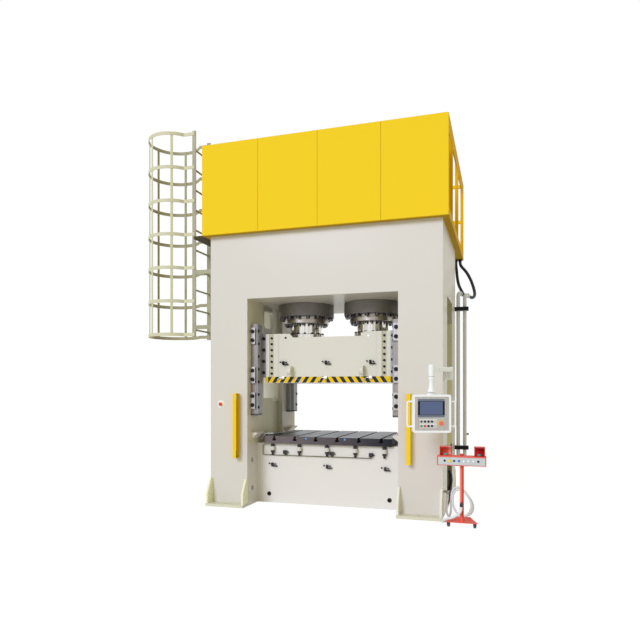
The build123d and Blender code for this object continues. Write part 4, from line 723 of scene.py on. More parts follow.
class Palette:
    """Every finish of the press, made once."""

    def __init__(self) -> None:
        """Make all the materials."""
        yellow = (1.0, 0.685, 0.020)
        olive = (0.57, 0.545, 0.36)
        black = (0.010, 0.010, 0.016)
        self.frame = Paint(
            "frame_cream", (0.755, 0.715, 0.650), gloss=0.25, dust=0.1, patches=frame_patches()
        ).make()
        self.slide = Paint(
            "slide_cream", (0.785, 0.755, 0.650), roughness=0.46, gloss=0.2, patches=SLIDE_LIGHT_AND_SHADE
        ).make()
        self.hazard = HazardPaint().make()
        self.bolster = BolsterSteel().make()
        self.fittings = Paint(
            "bed_black", (0.018, 0.018, 0.024), roughness=0.4, patches=bed_patches()
        ).make()
        self.black = Paint("bolt_black", black, roughness=0.4, gloss=0.15, coat=0.0).make()
        self.clamp = Paint(
            "clamp_black", black, roughness=0.4, gloss=0.15, coat=0.0, patches=CLAMP_PATCHES
        ).make()
        self.bolts = Paint("bolt_blued", (0.012, 0.013, 0.024), roughness=0.22, gloss=0.8, coat=0.4).make()
        self.rails = RailSteel().make()
        self.shoes = Steel(
            "shoe_grey", (0.34, 0.31, 0.30), roughness=0.5, grain=(200.0, 200.0, 4.0), metal=0.6
        ).make()
        self.flange = Steel(
            "flange_grey", (0.265, 0.245, 0.240), roughness=0.55, grain=(5.0, 5.0, 300.0), mottle=0.35,
            metal=0.45,
        ).make()
        self.gland = Steel(
            "gland_bright", (0.455, 0.405, 0.355), roughness=0.3, grain=(5.0, 5.0, 500.0)
        ).make()
        # Painted reflection: the strong streak paints vertical bands of reflection into the chrome's colour.
        self.chrome = Steel(
            "plunger_chrome", (0.80, 0.77, 0.72), roughness=0.14, grain=(34.0, 34.0, 0.3), mottle=0.06,
            relief=0.02, grain_and_reflection_streak=1.5,
        ).make()
        self.yellow = Paint(
            "guard_yellow", yellow, roughness=0.6, coat=0.0, gloss=0.05, cloud=0.02, patches=GUARD_PAINTED_SHADE
        ).make()
        self.curtain = Paint(
            "curtain_yellow", yellow, roughness=0.5, coat=0.0, gloss=0.08, patches=SENSOR_PATCHES
        ).make()
        self.deck = TreadPlate().make()
        self.tank = Paint("tank_grey", (0.42, 0.44, 0.45)).make()
        self.motor = Paint("motor_blue", (0.10, 0.19, 0.32), roughness=0.4).make()
        self.block = Steel("valve_steel", (0.45, 0.46, 0.47), roughness=0.35).make()
        self.ladder = Paint("ladder_olive", olive, roughness=0.5, coat=0.0, gloss=0.3, cloud=0.55).make()
        self.cage = Paint(
            "cage_olive", olive, roughness=0.5, coat=0.0, gloss=0.3, patches=CAGE_LIGHT_AND_SHADE
        ).make()
        self.pipe = Paint("pipe_grey", (0.78, 0.78, 0.84), roughness=0.26, coat=0.5, gloss=0.6).make()
        self.hose = Rubber("hose_black", (0.008, 0.009, 0.018), lift=0.012).make()
        self.sleeve = Rubber("conduit_grey", (0.80, 0.80, 0.83), roughness=0.45).make()
        self.arm = Paint("arm_white", (0.97, 0.985, 1.0), roughness=0.3, coat=0.3, cloud=0.01).make()
        self.seal = Rubber("arm_seal", (0.45, 0.46, 0.46)).make()
        self.housing = Plastic("panel_white", (0.99, 1.0, 1.0), roughness=0.3, shade=0.97).make()
        self.panel_steel = Steel(
            "panel_steel", (0.54, 0.515, 0.47), roughness=0.36, grain=(60.0, 60.0, 2.0), mottle=0.3,
            grain_and_reflection_streak=0.5,
        ).make()
        self.screen = ScreenGlass().make()
        self.legend = Plastic("legend_plate", (0.94, 0.94, 0.93), roughness=0.45, shade=0.96).make()
        self.lens = Plastic("lens_white", (0.78, 0.78, 0.70)).make()
        self.selector = Plastic("selector_grey", (0.10, 0.10, 0.115)).make()
        self.stop_plate = Plastic("stop_white", (1.0, 1.0, 0.98), shade=0.97).make()
        self.stop_ring = Plastic("stop_ring", (0.98, 0.62, 0.03)).make()
        self.stop_head = Plastic("stop_head", (0.92, 0.18, 0.21), roughness=0.35).make()
        self.red = Plastic("knob_red", (0.78, 0.06, 0.045), roughness=0.24).make()
        self.green = Plastic("knob_green", (0.02, 0.38, 0.17)).make()
        self.blue = Plastic("knob_blue", (0.02, 0.22, 0.66)).make()
        self.knob_yellow = Plastic("knob_yellow", (0.95, 0.74, 0.16)).make()
        self.white = Plastic("knob_white", (0.96, 0.96, 0.98), shade=0.97).make()
        self.knob_black = Plastic("knob_black", (0.008, 0.008, 0.011)).make()
        self.palm = Plastic("palm_teal", (0.06, 0.52, 0.40)).make()
        self.plug_blue = Plastic("plug_blue", (0.10, 0.42, 0.80)).make()
        self.key = Steel("key_metal", (0.7, 0.7, 0.68), roughness=0.25).make()
        self.stand = Paint(
            "stand_red", (0.94, 0.15, 0.11), roughness=0.5, coat=0.0, gloss=0.15, patches=STAND_LIGHT_AND_SHADE
        ).make()
        self.stand_panel = Steel(
            "stand_panel", (0.57, 0.60, 0.58), roughness=0.38, grain=(3.0, 90.0, 90.0), mottle=0.3,
            grain_and_reflection_streak=0.5,
        ).make()
        self.zinc = Steel("castor_zinc", (0.07, 0.07, 0.08), roughness=0.4).make()
        self.tread = Rubber("castor_tread", (0.035, 0.036, 0.04)).make()


# Mesh helpers


def finish_piece(
    name: str, mesh: bpy.types.Mesh, material: bpy.types.Material, body: Body, smooth: float = 35.0
) -> bpy.types.Object:
    """Turn a mesh into a piece that rides on a body.

    Args:
        name: The piece's name.
        mesh: Its mesh, in the shared frame.
        material: Its finish.
        body: The body that it rides on.
        smooth: Edges sharper than this angle in degrees stay sharp.

    Returns:
        The new object.
    """
    mesh.materials.clear()
    mesh.materials.append(material)
    mesh.shade_smooth()
    mesh.set_sharp_from_angle(angle=math.radians(smooth))
    piece = bpy.data.objects.new(name, mesh)
    bpy.context.scene.collection.objects.link(piece)
    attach(piece, body)
    LOG.info("piece %s: %d faces on %s", name, len(mesh.polygons), body)
    return piece


def finish_builder(
    name: str, builder: bmesh.types.BMesh, material: bpy.types.Material, body: Body
) -> bpy.types.Object:
    """Merge a bmesh's doubles, turn its faces outwards and finish it as a piece.

    Args:
        name: The piece's name.
        builder: The bmesh, which is freed.
        material: Its finish.
        body: The body that it rides on.

    Returns:
        The new object.
    """
    bmesh.ops.remove_doubles(builder, verts=builder.verts, dist=1e-6)
    bmesh.ops.recalc_face_normals(builder, faces=builder.faces)
    mesh = bpy.data.meshes.new(name)
    builder.to_mesh(mesh)
    builder.free()
    return finish_piece(name, mesh, material, body)


def circle(
    builder: bmesh.types.BMesh, place: Matrix, radius: float, height: float, sides: int
) -> list[bmesh.types.BMVert]:
    """A circle of vertices about the local Z axis, or one vertex on it.

    Args:
        builder: The bmesh to add to.
        place: Where the local axes go.
        radius: The circle's radius.
        height: Its place along the axis.
        sides: How many vertices.

    Returns:
        The vertices in order.
    """
    if radius < 1e-9:
        return [builder.verts.new(place @ Vector((0.0, 0.0, height)))]
    angles = (2 * math.pi * step / sides for step in range(sides))
    return [
        builder.verts.new(place @ Vector((radius * math.cos(angle), radius * math.sin(angle), height)))
        for angle in angles
    ]


def bridge(builder: bmesh.types.BMesh, rings: Sequence[Sequence[bmesh.types.BMVert]], ends: bool) -> None:
    """Join rings of vertices with faces, each to the next.

    Args:
        builder: The bmesh to add to.
        rings: The rings, which may have one vertex.
        ends: Whether the first and the last ring are closed.
    """
    for low, high in zip(rings, rings[1:]):
        sides = max(len(low), len(high))
        for step in range(sides):
            after = (step + 1) % sides
            places = ((low, step), (low, after), (high, after), (high, step))
            unique = list(dict.fromkeys(ring[index % len(ring)] for ring, index in places))
            if len(unique) > 2:
                builder.faces.new(unique)
    if ends:
        builder.faces.new(list(reversed(rings[0])))
        builder.faces.new(rings[-1])


def add_lathe(builder: bmesh.types.BMesh, profile: Outline, place: Matrix, sides: int) -> None:
    """Turn a closed or open profile about the local Z axis.

    Args:
        builder: The bmesh to add to.
        profile: Radius and height pairs; the first and last may lie on the axis.
        place: Where the local axes go.
        sides: Faces round the axis.
    """
    rings = [circle(builder, place, radius, height, sides) for radius, height in profile]
    bridge(builder, rings, ends=False)


def add_soft_box(
    builder: bmesh.types.BMesh, low: Point, high: Point, radius: float, place: Matrix = Matrix()
) -> None:
    """Add a box with rounded edges.

    Args:
        builder: The bmesh to add to.
        low: Its lowest corner.
        high: Its highest corner.
        radius: Radius of its edges.
        place: Where the local axes go.
    """
    size = Vector(high) - Vector(low)
    middle = (Vector(high) + Vector(low)) / 2
    matrix = Matrix.Translation(middle) @ Matrix.Diagonal((*size, 1.0))
    verts = bmesh.ops.create_cube(builder, size=1.0, matrix=matrix)["verts"]
    edges = list({edge for vert in verts for edge in vert.link_edges})
    result = bmesh.ops.bevel(
        builder, geom=edges, offset=radius, offset_type="OFFSET", segments=2, profile=0.5, affect="EDGES"
    )
    rounded = {vert for face in result["faces"] for vert in face.verts}
    touched = rounded | {vert for vert in verts if vert.is_valid}
    bmesh.ops.transform(builder, matrix=place, verts=list(touched))


def path_frames(points: Sequence[Vector]) -> list[Matrix]:
    """Turning-free frames along a path.

    Args:
        points: The path.

    Returns:
        One matrix per point, with Z along the path.
    """
    frames = []
    side = None
    for index, point in enumerate(points):
        ahead = points[min(index + 1, len(points) - 1)] - points[max(index - 1, 0)]
        ahead = ahead.normalized()
        if side is None:
            side = ahead.orthogonal().normalized()
        side = (side - ahead * side.dot(ahead)).normalized()
        up = ahead.cross(side)
        matrix = Matrix((side, up, ahead)).transposed().to_4x4()
        frames.append(Matrix.Translation(point) @ matrix)
    return frames


def add_tube(builder: bmesh.types.BMesh, points: Sequence[Vector], radius: float, sides: int = 14) -> None:
    """Add a closed tube along a path.

    Args:
        builder: The bmesh to add to.
        points: The path.
        radius: The tube's radius.
        sides: Faces round it.
    """
    rings = [circle(builder, matrix, radius, 0.0, sides) for matrix in path_frames(points)]
    bridge(builder, rings, ends=True)


def round_corners(points: Sequence[Point], radius: float, steps: int = 6) -> list[Vector]:
    """A rigid pipe's path with rounded corners.

    Args:
        points: The corners.
        radius: Bend radius.
        steps: Points per bend.

    Returns:
        The path's points.
    """
    corners = [Vector(point) for point in points]
    path = [corners[0]]
    for before, here, after in zip(corners, corners[1:], corners[2:]):
        back = (before - here).normalized()
        ahead = (after - here).normalized()
        half = back.angle(ahead) / 2
        reach = radius / math.tan(half)
        start = here + back * reach
        end = here + ahead * reach
        for share in (step / steps for step in range(steps + 1)):
            rest = 1 - share
            path.append((start * rest + here * share) * rest + (here * rest + end * share) * share)
    path.append(corners[-1])
    return path


def facing(normal: Point) -> Point:
    """Euler angles that turn Z to a direction."""
    return tuple(Vector(normal).to_track_quat("Z", "Y").to_euler())


# Geometry Nodes that repeat small pieces


class Repeater(Graph):
    """A geometry node tree with named inputs, applied to give a plain mesh."""

    def __init__(self, name: str, inputs: dict[str, str]) -> None:
        """Make a tree with its output and its named inputs, of which the material is the first.

        Args:
            name: The tree's name.
            inputs: Names of the other inputs with their types, such as Float, Int or Vector.
        """
        super().__init__(bpy.data.node_groups.new(name, "GeometryNodeTree"))
        interface = self.tree.interface
        interface.new_socket("Geometry", in_out="OUTPUT", socket_type="NodeSocketGeometry")
        self.identifiers = {
            key: interface.new_socket(key, in_out="INPUT", socket_type=f"NodeSocket{kind}").identifier
            for key, kind in {"Material": "Material", **inputs}.items()
        }
        self.entry = self.tree.nodes.new("NodeGroupInput")

    def given(self, name: str) -> Term:
        """A named input as a term."""
        return Term(self, self.entry.outputs[name])

    def end(self, geometry: Term) -> None:
        """Realize the instances, set the material and close the tree.

        Args:
            geometry: The geometry with its instances.
        """
        realized = self.term("GeometryNodeRealizeInstances", None, {0: geometry})
        values = {0: realized, "Material": self.given("Material")}
        self.node("NodeGroupOutput", None, {0: self.term("GeometryNodeSetMaterial", None, values)})

    def grow(
        self, name: str, inputs: dict[str, Any], material: bpy.types.Material, smooth: float = 35.0
    ) -> None:
        """Run the tree once and keep its result as a plain mesh on the press.

        Args:
            name: The piece's name.
            inputs: Values of the named inputs.
            material: The piece's finish.
            smooth: Edges sharper than this angle in degrees stay sharp.
        """
        holder = bpy.data.objects.new(f"{name}_grower", bpy.data.meshes.new(f"{name}_grower"))
        bpy.context.scene.collection.objects.link(holder)
        modifier = holder.modifiers.new("repeat", "NODES")
        modifier.node_group = self.tree
        for key, value in {"Material": material, **inputs}.items():
            modifier[self.identifiers[key]] = value
        grown = holder.evaluated_get(bpy.context.evaluated_depsgraph_get())
        mesh = bpy.data.meshes.new_from_object(grown)
        bpy.data.objects.remove(holder)
        mesh.name = name
        finish_piece(name, mesh, material, Body.PRESS, smooth)


class Fasteners(Repeater):
    """Socket screws in a row or a ring, each on its washer. Their parts are shares of the head's size."""

    BARREL = 0.86
    BARREL_MIDDLE = 0.57
    SOCKET_WIDTH = 0.52
    SOCKET_DEPTH = 0.45
    WASHER = 0.14
    WASHER_MIDDLE = 0.07
    WASHER_WIDTH = 1.22
    WASHER_SIDES = 16

    def __init__(self, layout: Layout) -> None:
        """Build the tree.

        Args:
            layout: A row between two points, or a ring round a centre.
        """
        super().__init__(f"fasteners_{layout.value}", {
            "Count": "Int", "Start": "Vector", "End": "Vector", "Ring Radius": "Float",
            "Head Radius": "Float", "Head Height": "Float", "Sides": "Int", "Facing": "Vector",
        })
        count, start = self.given("Count"), self.given("Start")
        if layout is Layout.ROW:
            values = {"Count": count, "Start Location": start, "Offset": self.given("End")}
            places = self.term("GeometryNodeMeshLine", {"mode": "END_POINTS"}, values)
        else:
            values = {"Vertices": count, "Radius": self.given("Ring Radius")}
            ring = self.term("GeometryNodeMeshCircle", None, values)
            values = {"Geometry": ring, "Translation": start, "Rotation": self.given("Facing")}
            places = self.term("GeometryNodeTransform", None, values)
        values = {"Points": places, "Instance": self._head(), "Rotation": self.given("Facing")}
        self.end(self.term("GeometryNodeInstanceOnPoints", None, values))

    def _raised(self, geometry: Any, height: Term) -> Term:
        """Geometry that is lifted along Z."""
        lift = self.term("ShaderNodeCombineXYZ", None, {2: height})
        return self.term("GeometryNodeTransform", None, {"Geometry": geometry, "Translation": lift})

    def _head(self) -> Term:
        """One head with its socket and washer, standing on the origin.

        Returns:
            The head's geometry.
        """
        radius, height = self.given("Head Radius"), self.given("Head Height")
        faces = {"mode": "FACES"}
        values = {"Vertices": self.given("Sides"), "Radius": radius, "Depth": height * self.BARREL}
        barrel = self.node("GeometryNodeMeshCylinder", None, values)
        raised = self._raised(barrel.outputs[0], height * self.BARREL_MIDDLE)
        values = {"Mesh": raised, "Selection": barrel.outputs["Top"], "Offset Scale": 0.0}
        rim = self.node("GeometryNodeExtrudeMesh", faces, values)
        inner = rim.outputs["Top"]
        values = {"Geometry": rim.outputs[0], "Selection": inner, "Scale": self.SOCKET_WIDTH}
        hole = self.term("GeometryNodeScaleElements", None, values)
        values = {"Mesh": hole, "Selection": inner, "Offset Scale": height * -self.SOCKET_DEPTH}
        sunk = self.term("GeometryNodeExtrudeMesh", faces, values)
        wide, thick = radius * self.WASHER_WIDTH, height * self.WASHER
        values = {"Vertices": self.WASHER_SIDES, "Radius": wide, "Depth": thick}
        washer = self.term("GeometryNodeMeshCylinder", None, values)
        seated = self._raised(washer, height * self.WASHER_MIDDLE)
        joined = self.node("GeometryNodeJoinGeometry")
        for part in (sunk, seated):
            self.tree.links.new(part.socket, joined.inputs[0])
        return Term(self, joined.outputs[0])

    def fit(
        self, name: str, places: dict[str, Any], count: int, size: tuple[float, float], normal: Point,
        material: bpy.types.Material, sides: int,
    ) -> None:
        """Put screws on a face of the press.

        Args:
            name: The piece's name.
            places: Start and End of a row, or Start and Ring Radius of a ring.
            count: How many.
            size: Head radius and height.
            normal: The way that they face.
            material: Their finish.
            sides: Sides of the head.
        """
        shape = {"Head Radius": size[0], "Head Height": size[1], "Sides": sides, "Facing": facing(normal)}
        self.grow(name, {"Count": count, **places, **shape}, material)


class WeldBead(Repeater):
    """A rippled fillet weld along a straight seam."""

    STEP = 0.007
    WAVE = 1.9
    ROUND_SIDES = 8

    def __init__(self) -> None:
        """Build the tree."""
        inputs = {"Start": "Vector", "End": "Vector", "Radius": "Float", "Ripple": "Float"}
        super().__init__("weld_bead", inputs)
        values = {"Start": self.given("Start"), "End": self.given("End")}
        line = self.term("GeometryNodeCurvePrimitiveLine", None, values)
        values = {"Curve": line, "Length": self.STEP}
        fine = self.term("GeometryNodeResampleCurve", {"mode": "LENGTH"}, values)
        turn = self.term("GeometryNodeInputIndex") * self.WAVE
        wave = self.term("ShaderNodeMath", {"operation": "SINE"}, {0: turn})
        radius = wave * self.given("Ripple") + 1.0
        shaped = self.term("GeometryNodeSetCurveRadius", None, {"Curve": fine, "Radius": radius})
        values = {"Resolution": self.ROUND_SIDES, "Radius": self.given("Radius")}
        ring = self.term("GeometryNodeCurvePrimitiveCircle", None, values)
        values = {"Curve": shaped, "Profile Curve": ring, "Fill Caps": True}
        swept = self.node("GeometryNodeCurveToMesh", None, values)
        if "Scale" in swept.inputs:
            self.tree.links.new(radius.socket, swept.inputs["Scale"])
        self.end(Term(self, swept.outputs[0]))


class Fins(Repeater):
    """Cooling ribs that stand round a motor's barrel."""

    def __init__(self) -> None:
        """Build the tree."""
        super().__init__("cooling_fins", {
            "Count": "Int", "Centre": "Vector", "Facing": "Vector", "Ring Radius": "Float",
            "Length": "Float", "Height": "Float", "Thickness": "Float",
        })
        values = {"Vertices": self.given("Count"), "Radius": self.given("Ring Radius")}
        ring = self.term("GeometryNodeMeshCircle", None, values)
        values = {0: self.given("Height"), 1: self.given("Thickness"), 2: self.given("Length")}
        size = self.term("ShaderNodeCombineXYZ", None, values)
        fin = self.term("GeometryNodeMeshCube", None, {"Size": size})
        place = self.term("GeometryNodeInputPosition")
        turn = self.term("FunctionNodeAlignEulerToVector", {"axis": "X"}, {"Vector": place})
        values = {"Points": ring, "Instance": fin, "Rotation": turn}
        spread = self.term("GeometryNodeInstanceOnPoints", None, values)
        values = {"Geometry": spread, "Translation": self.given("Centre"), "Rotation": self.given("Facing")}
        self.end(self.term("GeometryNodeTransform", None, values))


@dataclass
class Kit:
    """What every sub-assembly needs: the finishes and the repeaters."""

    palette: Palette = field(default_factory=Palette)
    rows: Fasteners = field(default_factory=lambda: Fasteners(Layout.ROW))
    rings: Fasteners = field(default_factory=lambda: Fasteners(Layout.RING))
    welds: WeldBead = field(default_factory=WeldBead)
    fins: Fins = field(default_factory=Fins)

    def dress(self, material: bpy.types.Material, *nodes: str) -> None:
        """Give CAD nodes their finish.

        Args:
            material: The finish.
            nodes: The nodes' names.
        """
        for node in nodes:
            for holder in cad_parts[node].material_slots:
                holder.material = material
            LOG.info("dressed %s in %s", node, material.name)

    def turned(
        self, name: str, profile: Outline, places: Sequence[Matrix], material: bpy.types.Material,
        body: Body = Body.PRESS, sides: int = 40,
    ) -> bpy.types.Object:
        """Turn one profile at several places as one piece.

        Args:
            name: The piece's name.
            profile: Radius and height pairs.
            places: Where the profile's axes go.
            material: The finish.
            body: The body that it rides on.
            sides: Faces round the axis.

        Returns:
            The new piece.
        """
        builder = bmesh.new()
        for place in places:
            add_lathe(builder, profile, place, sides)
        return finish_builder(name, builder, material, body)

    def blocks(
        self, name: str, corners: Sequence[tuple[Point, Point]], material: bpy.types.Material,
        body: Body = Body.PRESS, place: Matrix = Matrix(), *, edge: float,
    ) -> None:
        """Make soft-edged blocks as one piece.

        Args:
            name: The piece's name.
            corners: Lowest and highest corner of each block.
            material: The finish.
            body: The body that it rides on.
            place: Where the local axes go.
            edge: Radius of the edges.
        """
        builder = bmesh.new()
        for low, high in corners:
            add_soft_box(builder, low, high, edge, place)
        finish_builder(name, builder, material, body)

    def lines(
        self, name: str, routes: Sequence[Sequence[Point]], material: bpy.types.Material,
        body: Body = Body.PRESS, *, radius: float, bend: float,
    ) -> None:
        """Make fixed pipes or clipped wires as one piece.

        Args:
            name: The piece's name.
            routes: The corners of each run.
            material: The finish.
            body: The body that they ride on.
            radius: Radius of the pipe.
            bend: Bend radius.
        """
        builder = bmesh.new()
        for route in routes:
            add_tube(builder, round_corners(route, bend), radius)
        finish_builder(name, builder, material, body)


def axis_place(place: Point, axis: Point) -> Matrix:
    """A matrix that takes the local Z axis to a direction at a place."""
    return Matrix.Translation(place) @ Vector(axis).to_track_quat("Z", "Y").to_matrix().to_4x4()


def mirrored(x: float) -> list[Matrix]:
    """Upright places at the same distance to the left and the right of the middle."""
    return [Matrix.Translation((side * x, 0.0, 0.0)) for side in (-1, 1)]


def dome(radius: float, height: float, edge: float) -> list[tuple[float, float]]:
    """The profile of a low disc with a rounded rim."""
    return [(0.0, 0.0), (radius, 0.0), (radius, height - edge), (radius - edge, height), (0.0, height)]


def socket_head(radius: float, height: float, depth: float = 0.0012) -> list[tuple[float, float]]:
    """The profile of a screw head with a shallow round socket.

    Args:
        radius: The head's radius.
        height: Its height.
        depth: Depth of the socket.

    Returns:
        Radius and height pairs.
    """
    floor = height - depth
    return [
        (0.0, 0.0), (radius, 0.0), (radius, height * 0.8), (radius * 0.9, height), (radius * 0.5, height),
        (radius * 0.45, floor), (0.0, floor),
    ]


LENS = dome(0.0137, 0.004, 0.0025)


# Sub-assemblies


@dataclass
class WeldedFrame:
    """Columns, crown, bed and bolster."""

    kit: Kit
    bed_edge: float = 1.10
    bed_front: float = 0.625
    bed_top: float = 0.885
    gusset_edges: tuple[float, ...] = (1.1, 1.128, 1.662, 1.69)
    gusset_top: float = 0.395
    column_front: float = 1.0055
    foot_run: tuple[float, float] = (1.006, 1.152)
    foot_top: float = 0.04
    weld: float = 0.007
    ripple: float = 0.12
    plugs: tuple[float, ...] = (-0.31, 0.278)
    plug_front: float = -0.69
    plug_height: float = 0.975
    wire: tuple[Point, ...] = (
        (-1.09, -0.50, 0.93), (-1.05, -0.47, 1.018), (-0.93, -0.42, 1.018), (-0.86, -0.33, 1.018),
    )
    wire_shifts: tuple[float, ...] = (0.0, 0.045, 0.09, 0.135)
    recess_wall: float = 0.37

    def build(self) -> None:
        """Dress the frame, lay its weld beads and add its small fittings."""
        palette = self.kit.palette
        self.kit.dress(palette.frame, "frame")
        self.kit.dress(palette.bolster, "bolster")
        self.kit.dress(palette.fittings, "bed_fittings")
        self._weld_seams()
        plugs = [axis_place((x, self.plug_front, self.plug_height), FRONT) for x in self.plugs]
        self.kit.turned("bolster_plugs", dome(0.015, 0.006, 0.003), plugs, palette.plug_blue)
        routes = [[(x, y + shift, z) for x, y, z in self.wire] for shift in self.wire_shifts]
        self.kit.lines("bolster_wiring", routes, palette.key, radius=0.014, bend=0.03)
        self._recess_valves()

    def _weld_seams(self) -> None:
        """Lay a bead along the bed's ends and the feet's gussets."""
        seams: list[tuple[Point, Point]] = []
        for side in (-1, 1):
            for end in (-1, 1):
                bed = (side * self.bed_edge, end * self.bed_front)
                seams.append(((*bed, 0.0), (*bed, self.bed_top)))
                front = end * self.column_front
                near, far = (end * reach for reach in self.foot_run)
                for x in (side * edge for edge in self.gusset_edges):
                    seams.append(((x, front, self.foot_top), (x, front, self.gusset_top)))
                    seams.append(((x, near, self.foot_top), (x, far, self.foot_top)))
        for number, (start, stop) in enumerate(seams):
            inputs = {"Start": start, "End": stop, "Radius": self.weld, "Ripple": self.ripple}
            self.kit.welds.grow(f"frame_weld_{number:02d}", inputs, self.kit.palette.frame, smooth=60.0)

    def _recess_valves(self) -> None:
        """Fit the hoses and valves that stand in the right column's lower recess."""
        palette = self.kit.palette
        y = self.recess_wall
        front, back = y - 0.03, y + 0.02
        hose = [(1.648, y, 0.45), (1.675, y, 0.40), (1.684, y, 0.31), (1.672, y, 0.20), (1.645, y, 0.13)]
        pipes = [
            [(1.60, back, 0.78), (1.60, back, 0.16), (1.50, back, 0.16)],
            [(1.52, back, 0.78), (1.52, back, 0.30), (1.42, back, 0.30)],
        ]
        valve = [((1.572, front, 0.20), (1.612, back, 0.275))]
        strainer = [
            ((1.615, front, 0.06), (1.662, back, 0.12)),
            ((1.620, front, 0.01), (1.656, back, 0.055)),
        ]
        self.kit.lines("recess_hose", [hose], palette.hose, radius=0.021, bend=0.05)
        self.kit.lines("recess_pipes", pipes, palette.key, radius=0.014, bend=0.04)
        self.kit.blocks("recess_valve", valve, palette.red, edge=0.006)
        self.kit.blocks("recess_filter", strainer, palette.knob_black, edge=0.008)


@dataclass
class SlideGroup:
    """The slide with its plate, shoes, fittings and plungers."""

    kit: Kit
    centre_x: float = 0.535
    flange_low: float = 2.457
    flange_high: float = 2.549
    flange_radius: float = 0.285
    rod_radius: float = 0.24
    rod_top: float = 3.85
    edge: float = 0.004
    fillet: float = 0.006
    plate_front: float = -0.69
    clamp_places: tuple[float, ...] = (-0.666, -0.009, 0.655)
    strip_x: float = 0.85
    strip_y: float = 0.678
    strip_low: float = 1.93
    strip_high: float = 2.455
    strip_count: int = 7
    eye_x: float = 0.625
    eye_height: float = 2.455

    def build(self) -> None:
        """Dress the slide, turn its plungers and fit its clamps."""
        palette = self.kit.palette
        self.kit.dress(palette.slide, "slide")
        self.kit.dress(palette.hazard, "slide_plate")
        self.kit.dress(palette.shoes, "slide_shoes")
        self.kit.dress(palette.black, "slide_fittings")
        self._plungers()
        self._die_clamps()
        self._strip_bolts()

    def _plungers(self) -> None:
        """Turn both plungers with their flanges as one smooth piece."""
        profile = [
            (0.0, self.flange_low),
            (self.flange_radius, self.flange_low),
            (self.flange_radius, self.flange_high - self.edge),
            (self.flange_radius - self.edge, self.flange_high),
            (self.rod_radius + self.fillet, self.flange_high),
            (self.rod_radius, self.flange_high + self.fillet),
            (self.rod_radius, self.rod_top - self.edge),
            (self.rod_radius - self.edge, self.rod_top),
            (0.0, self.rod_top),
        ]
        places = mirrored(self.centre_x)
        piece = self.kit.turned("plungers_turned", profile, places, self.kit.palette.chrome, Body.SLIDE, sides=96)
        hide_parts("plungers")

    def _die_clamps(self) -> None:
        """Put the three die clamps with their oil lines on the plate's edge."""
        y = self.plate_front
        key = self.kit.palette.key
        bodies = [((x - 0.022, y - 0.028, 1.842), (x + 0.03, y + 0.002, 1.882)) for x in self.clamp_places]
        routes = [
            [
                (x - 0.02, y - 0.014, 1.862), (x - 0.055, y - 0.014, 1.866), (x - 0.085, y - 0.012, 1.84),
                (x - 0.09, y - 0.002, 1.81),
            ]
            for x in self.clamp_places
        ]
        self.kit.blocks("die_clamps", bodies, key, Body.SLIDE, edge=0.006)
        self.kit.lines("clamp_lines", routes, key, Body.SLIDE, radius=0.006, bend=0.012)

    def _strip_bolts(self) -> None:
        """Set the bolts of the side strips and the caps of the two eyes."""
        palette = self.kit.palette
        reach, gaps = self.strip_high - self.strip_low, self.strip_count - 1
        heights = [self.strip_low + step * reach / gaps for step in range(gaps + 1)]
        places = [
            axis_place((side * self.strip_x, end * self.strip_y, height), (0.0, end, 0.0))
            for side in (-1, 1)
            for end in (-1, 1)
            for height in heights
        ]
        self.kit.turned("strip_bolts", socket_head(0.0175, 0.0155), places, palette.black, Body.SLIDE, sides=20)
        for (side, label), finish in zip(SIDES, (palette.black, palette.key)):
            cap = [axis_place((side * self.eye_x, self.plate_front, self.eye_height), FRONT)]
            self.kit.turned(f"eye_cap_{label}", dome(0.0165, 0.003, 0.0015), cap, finish, Body.SLIDE, sides=20)


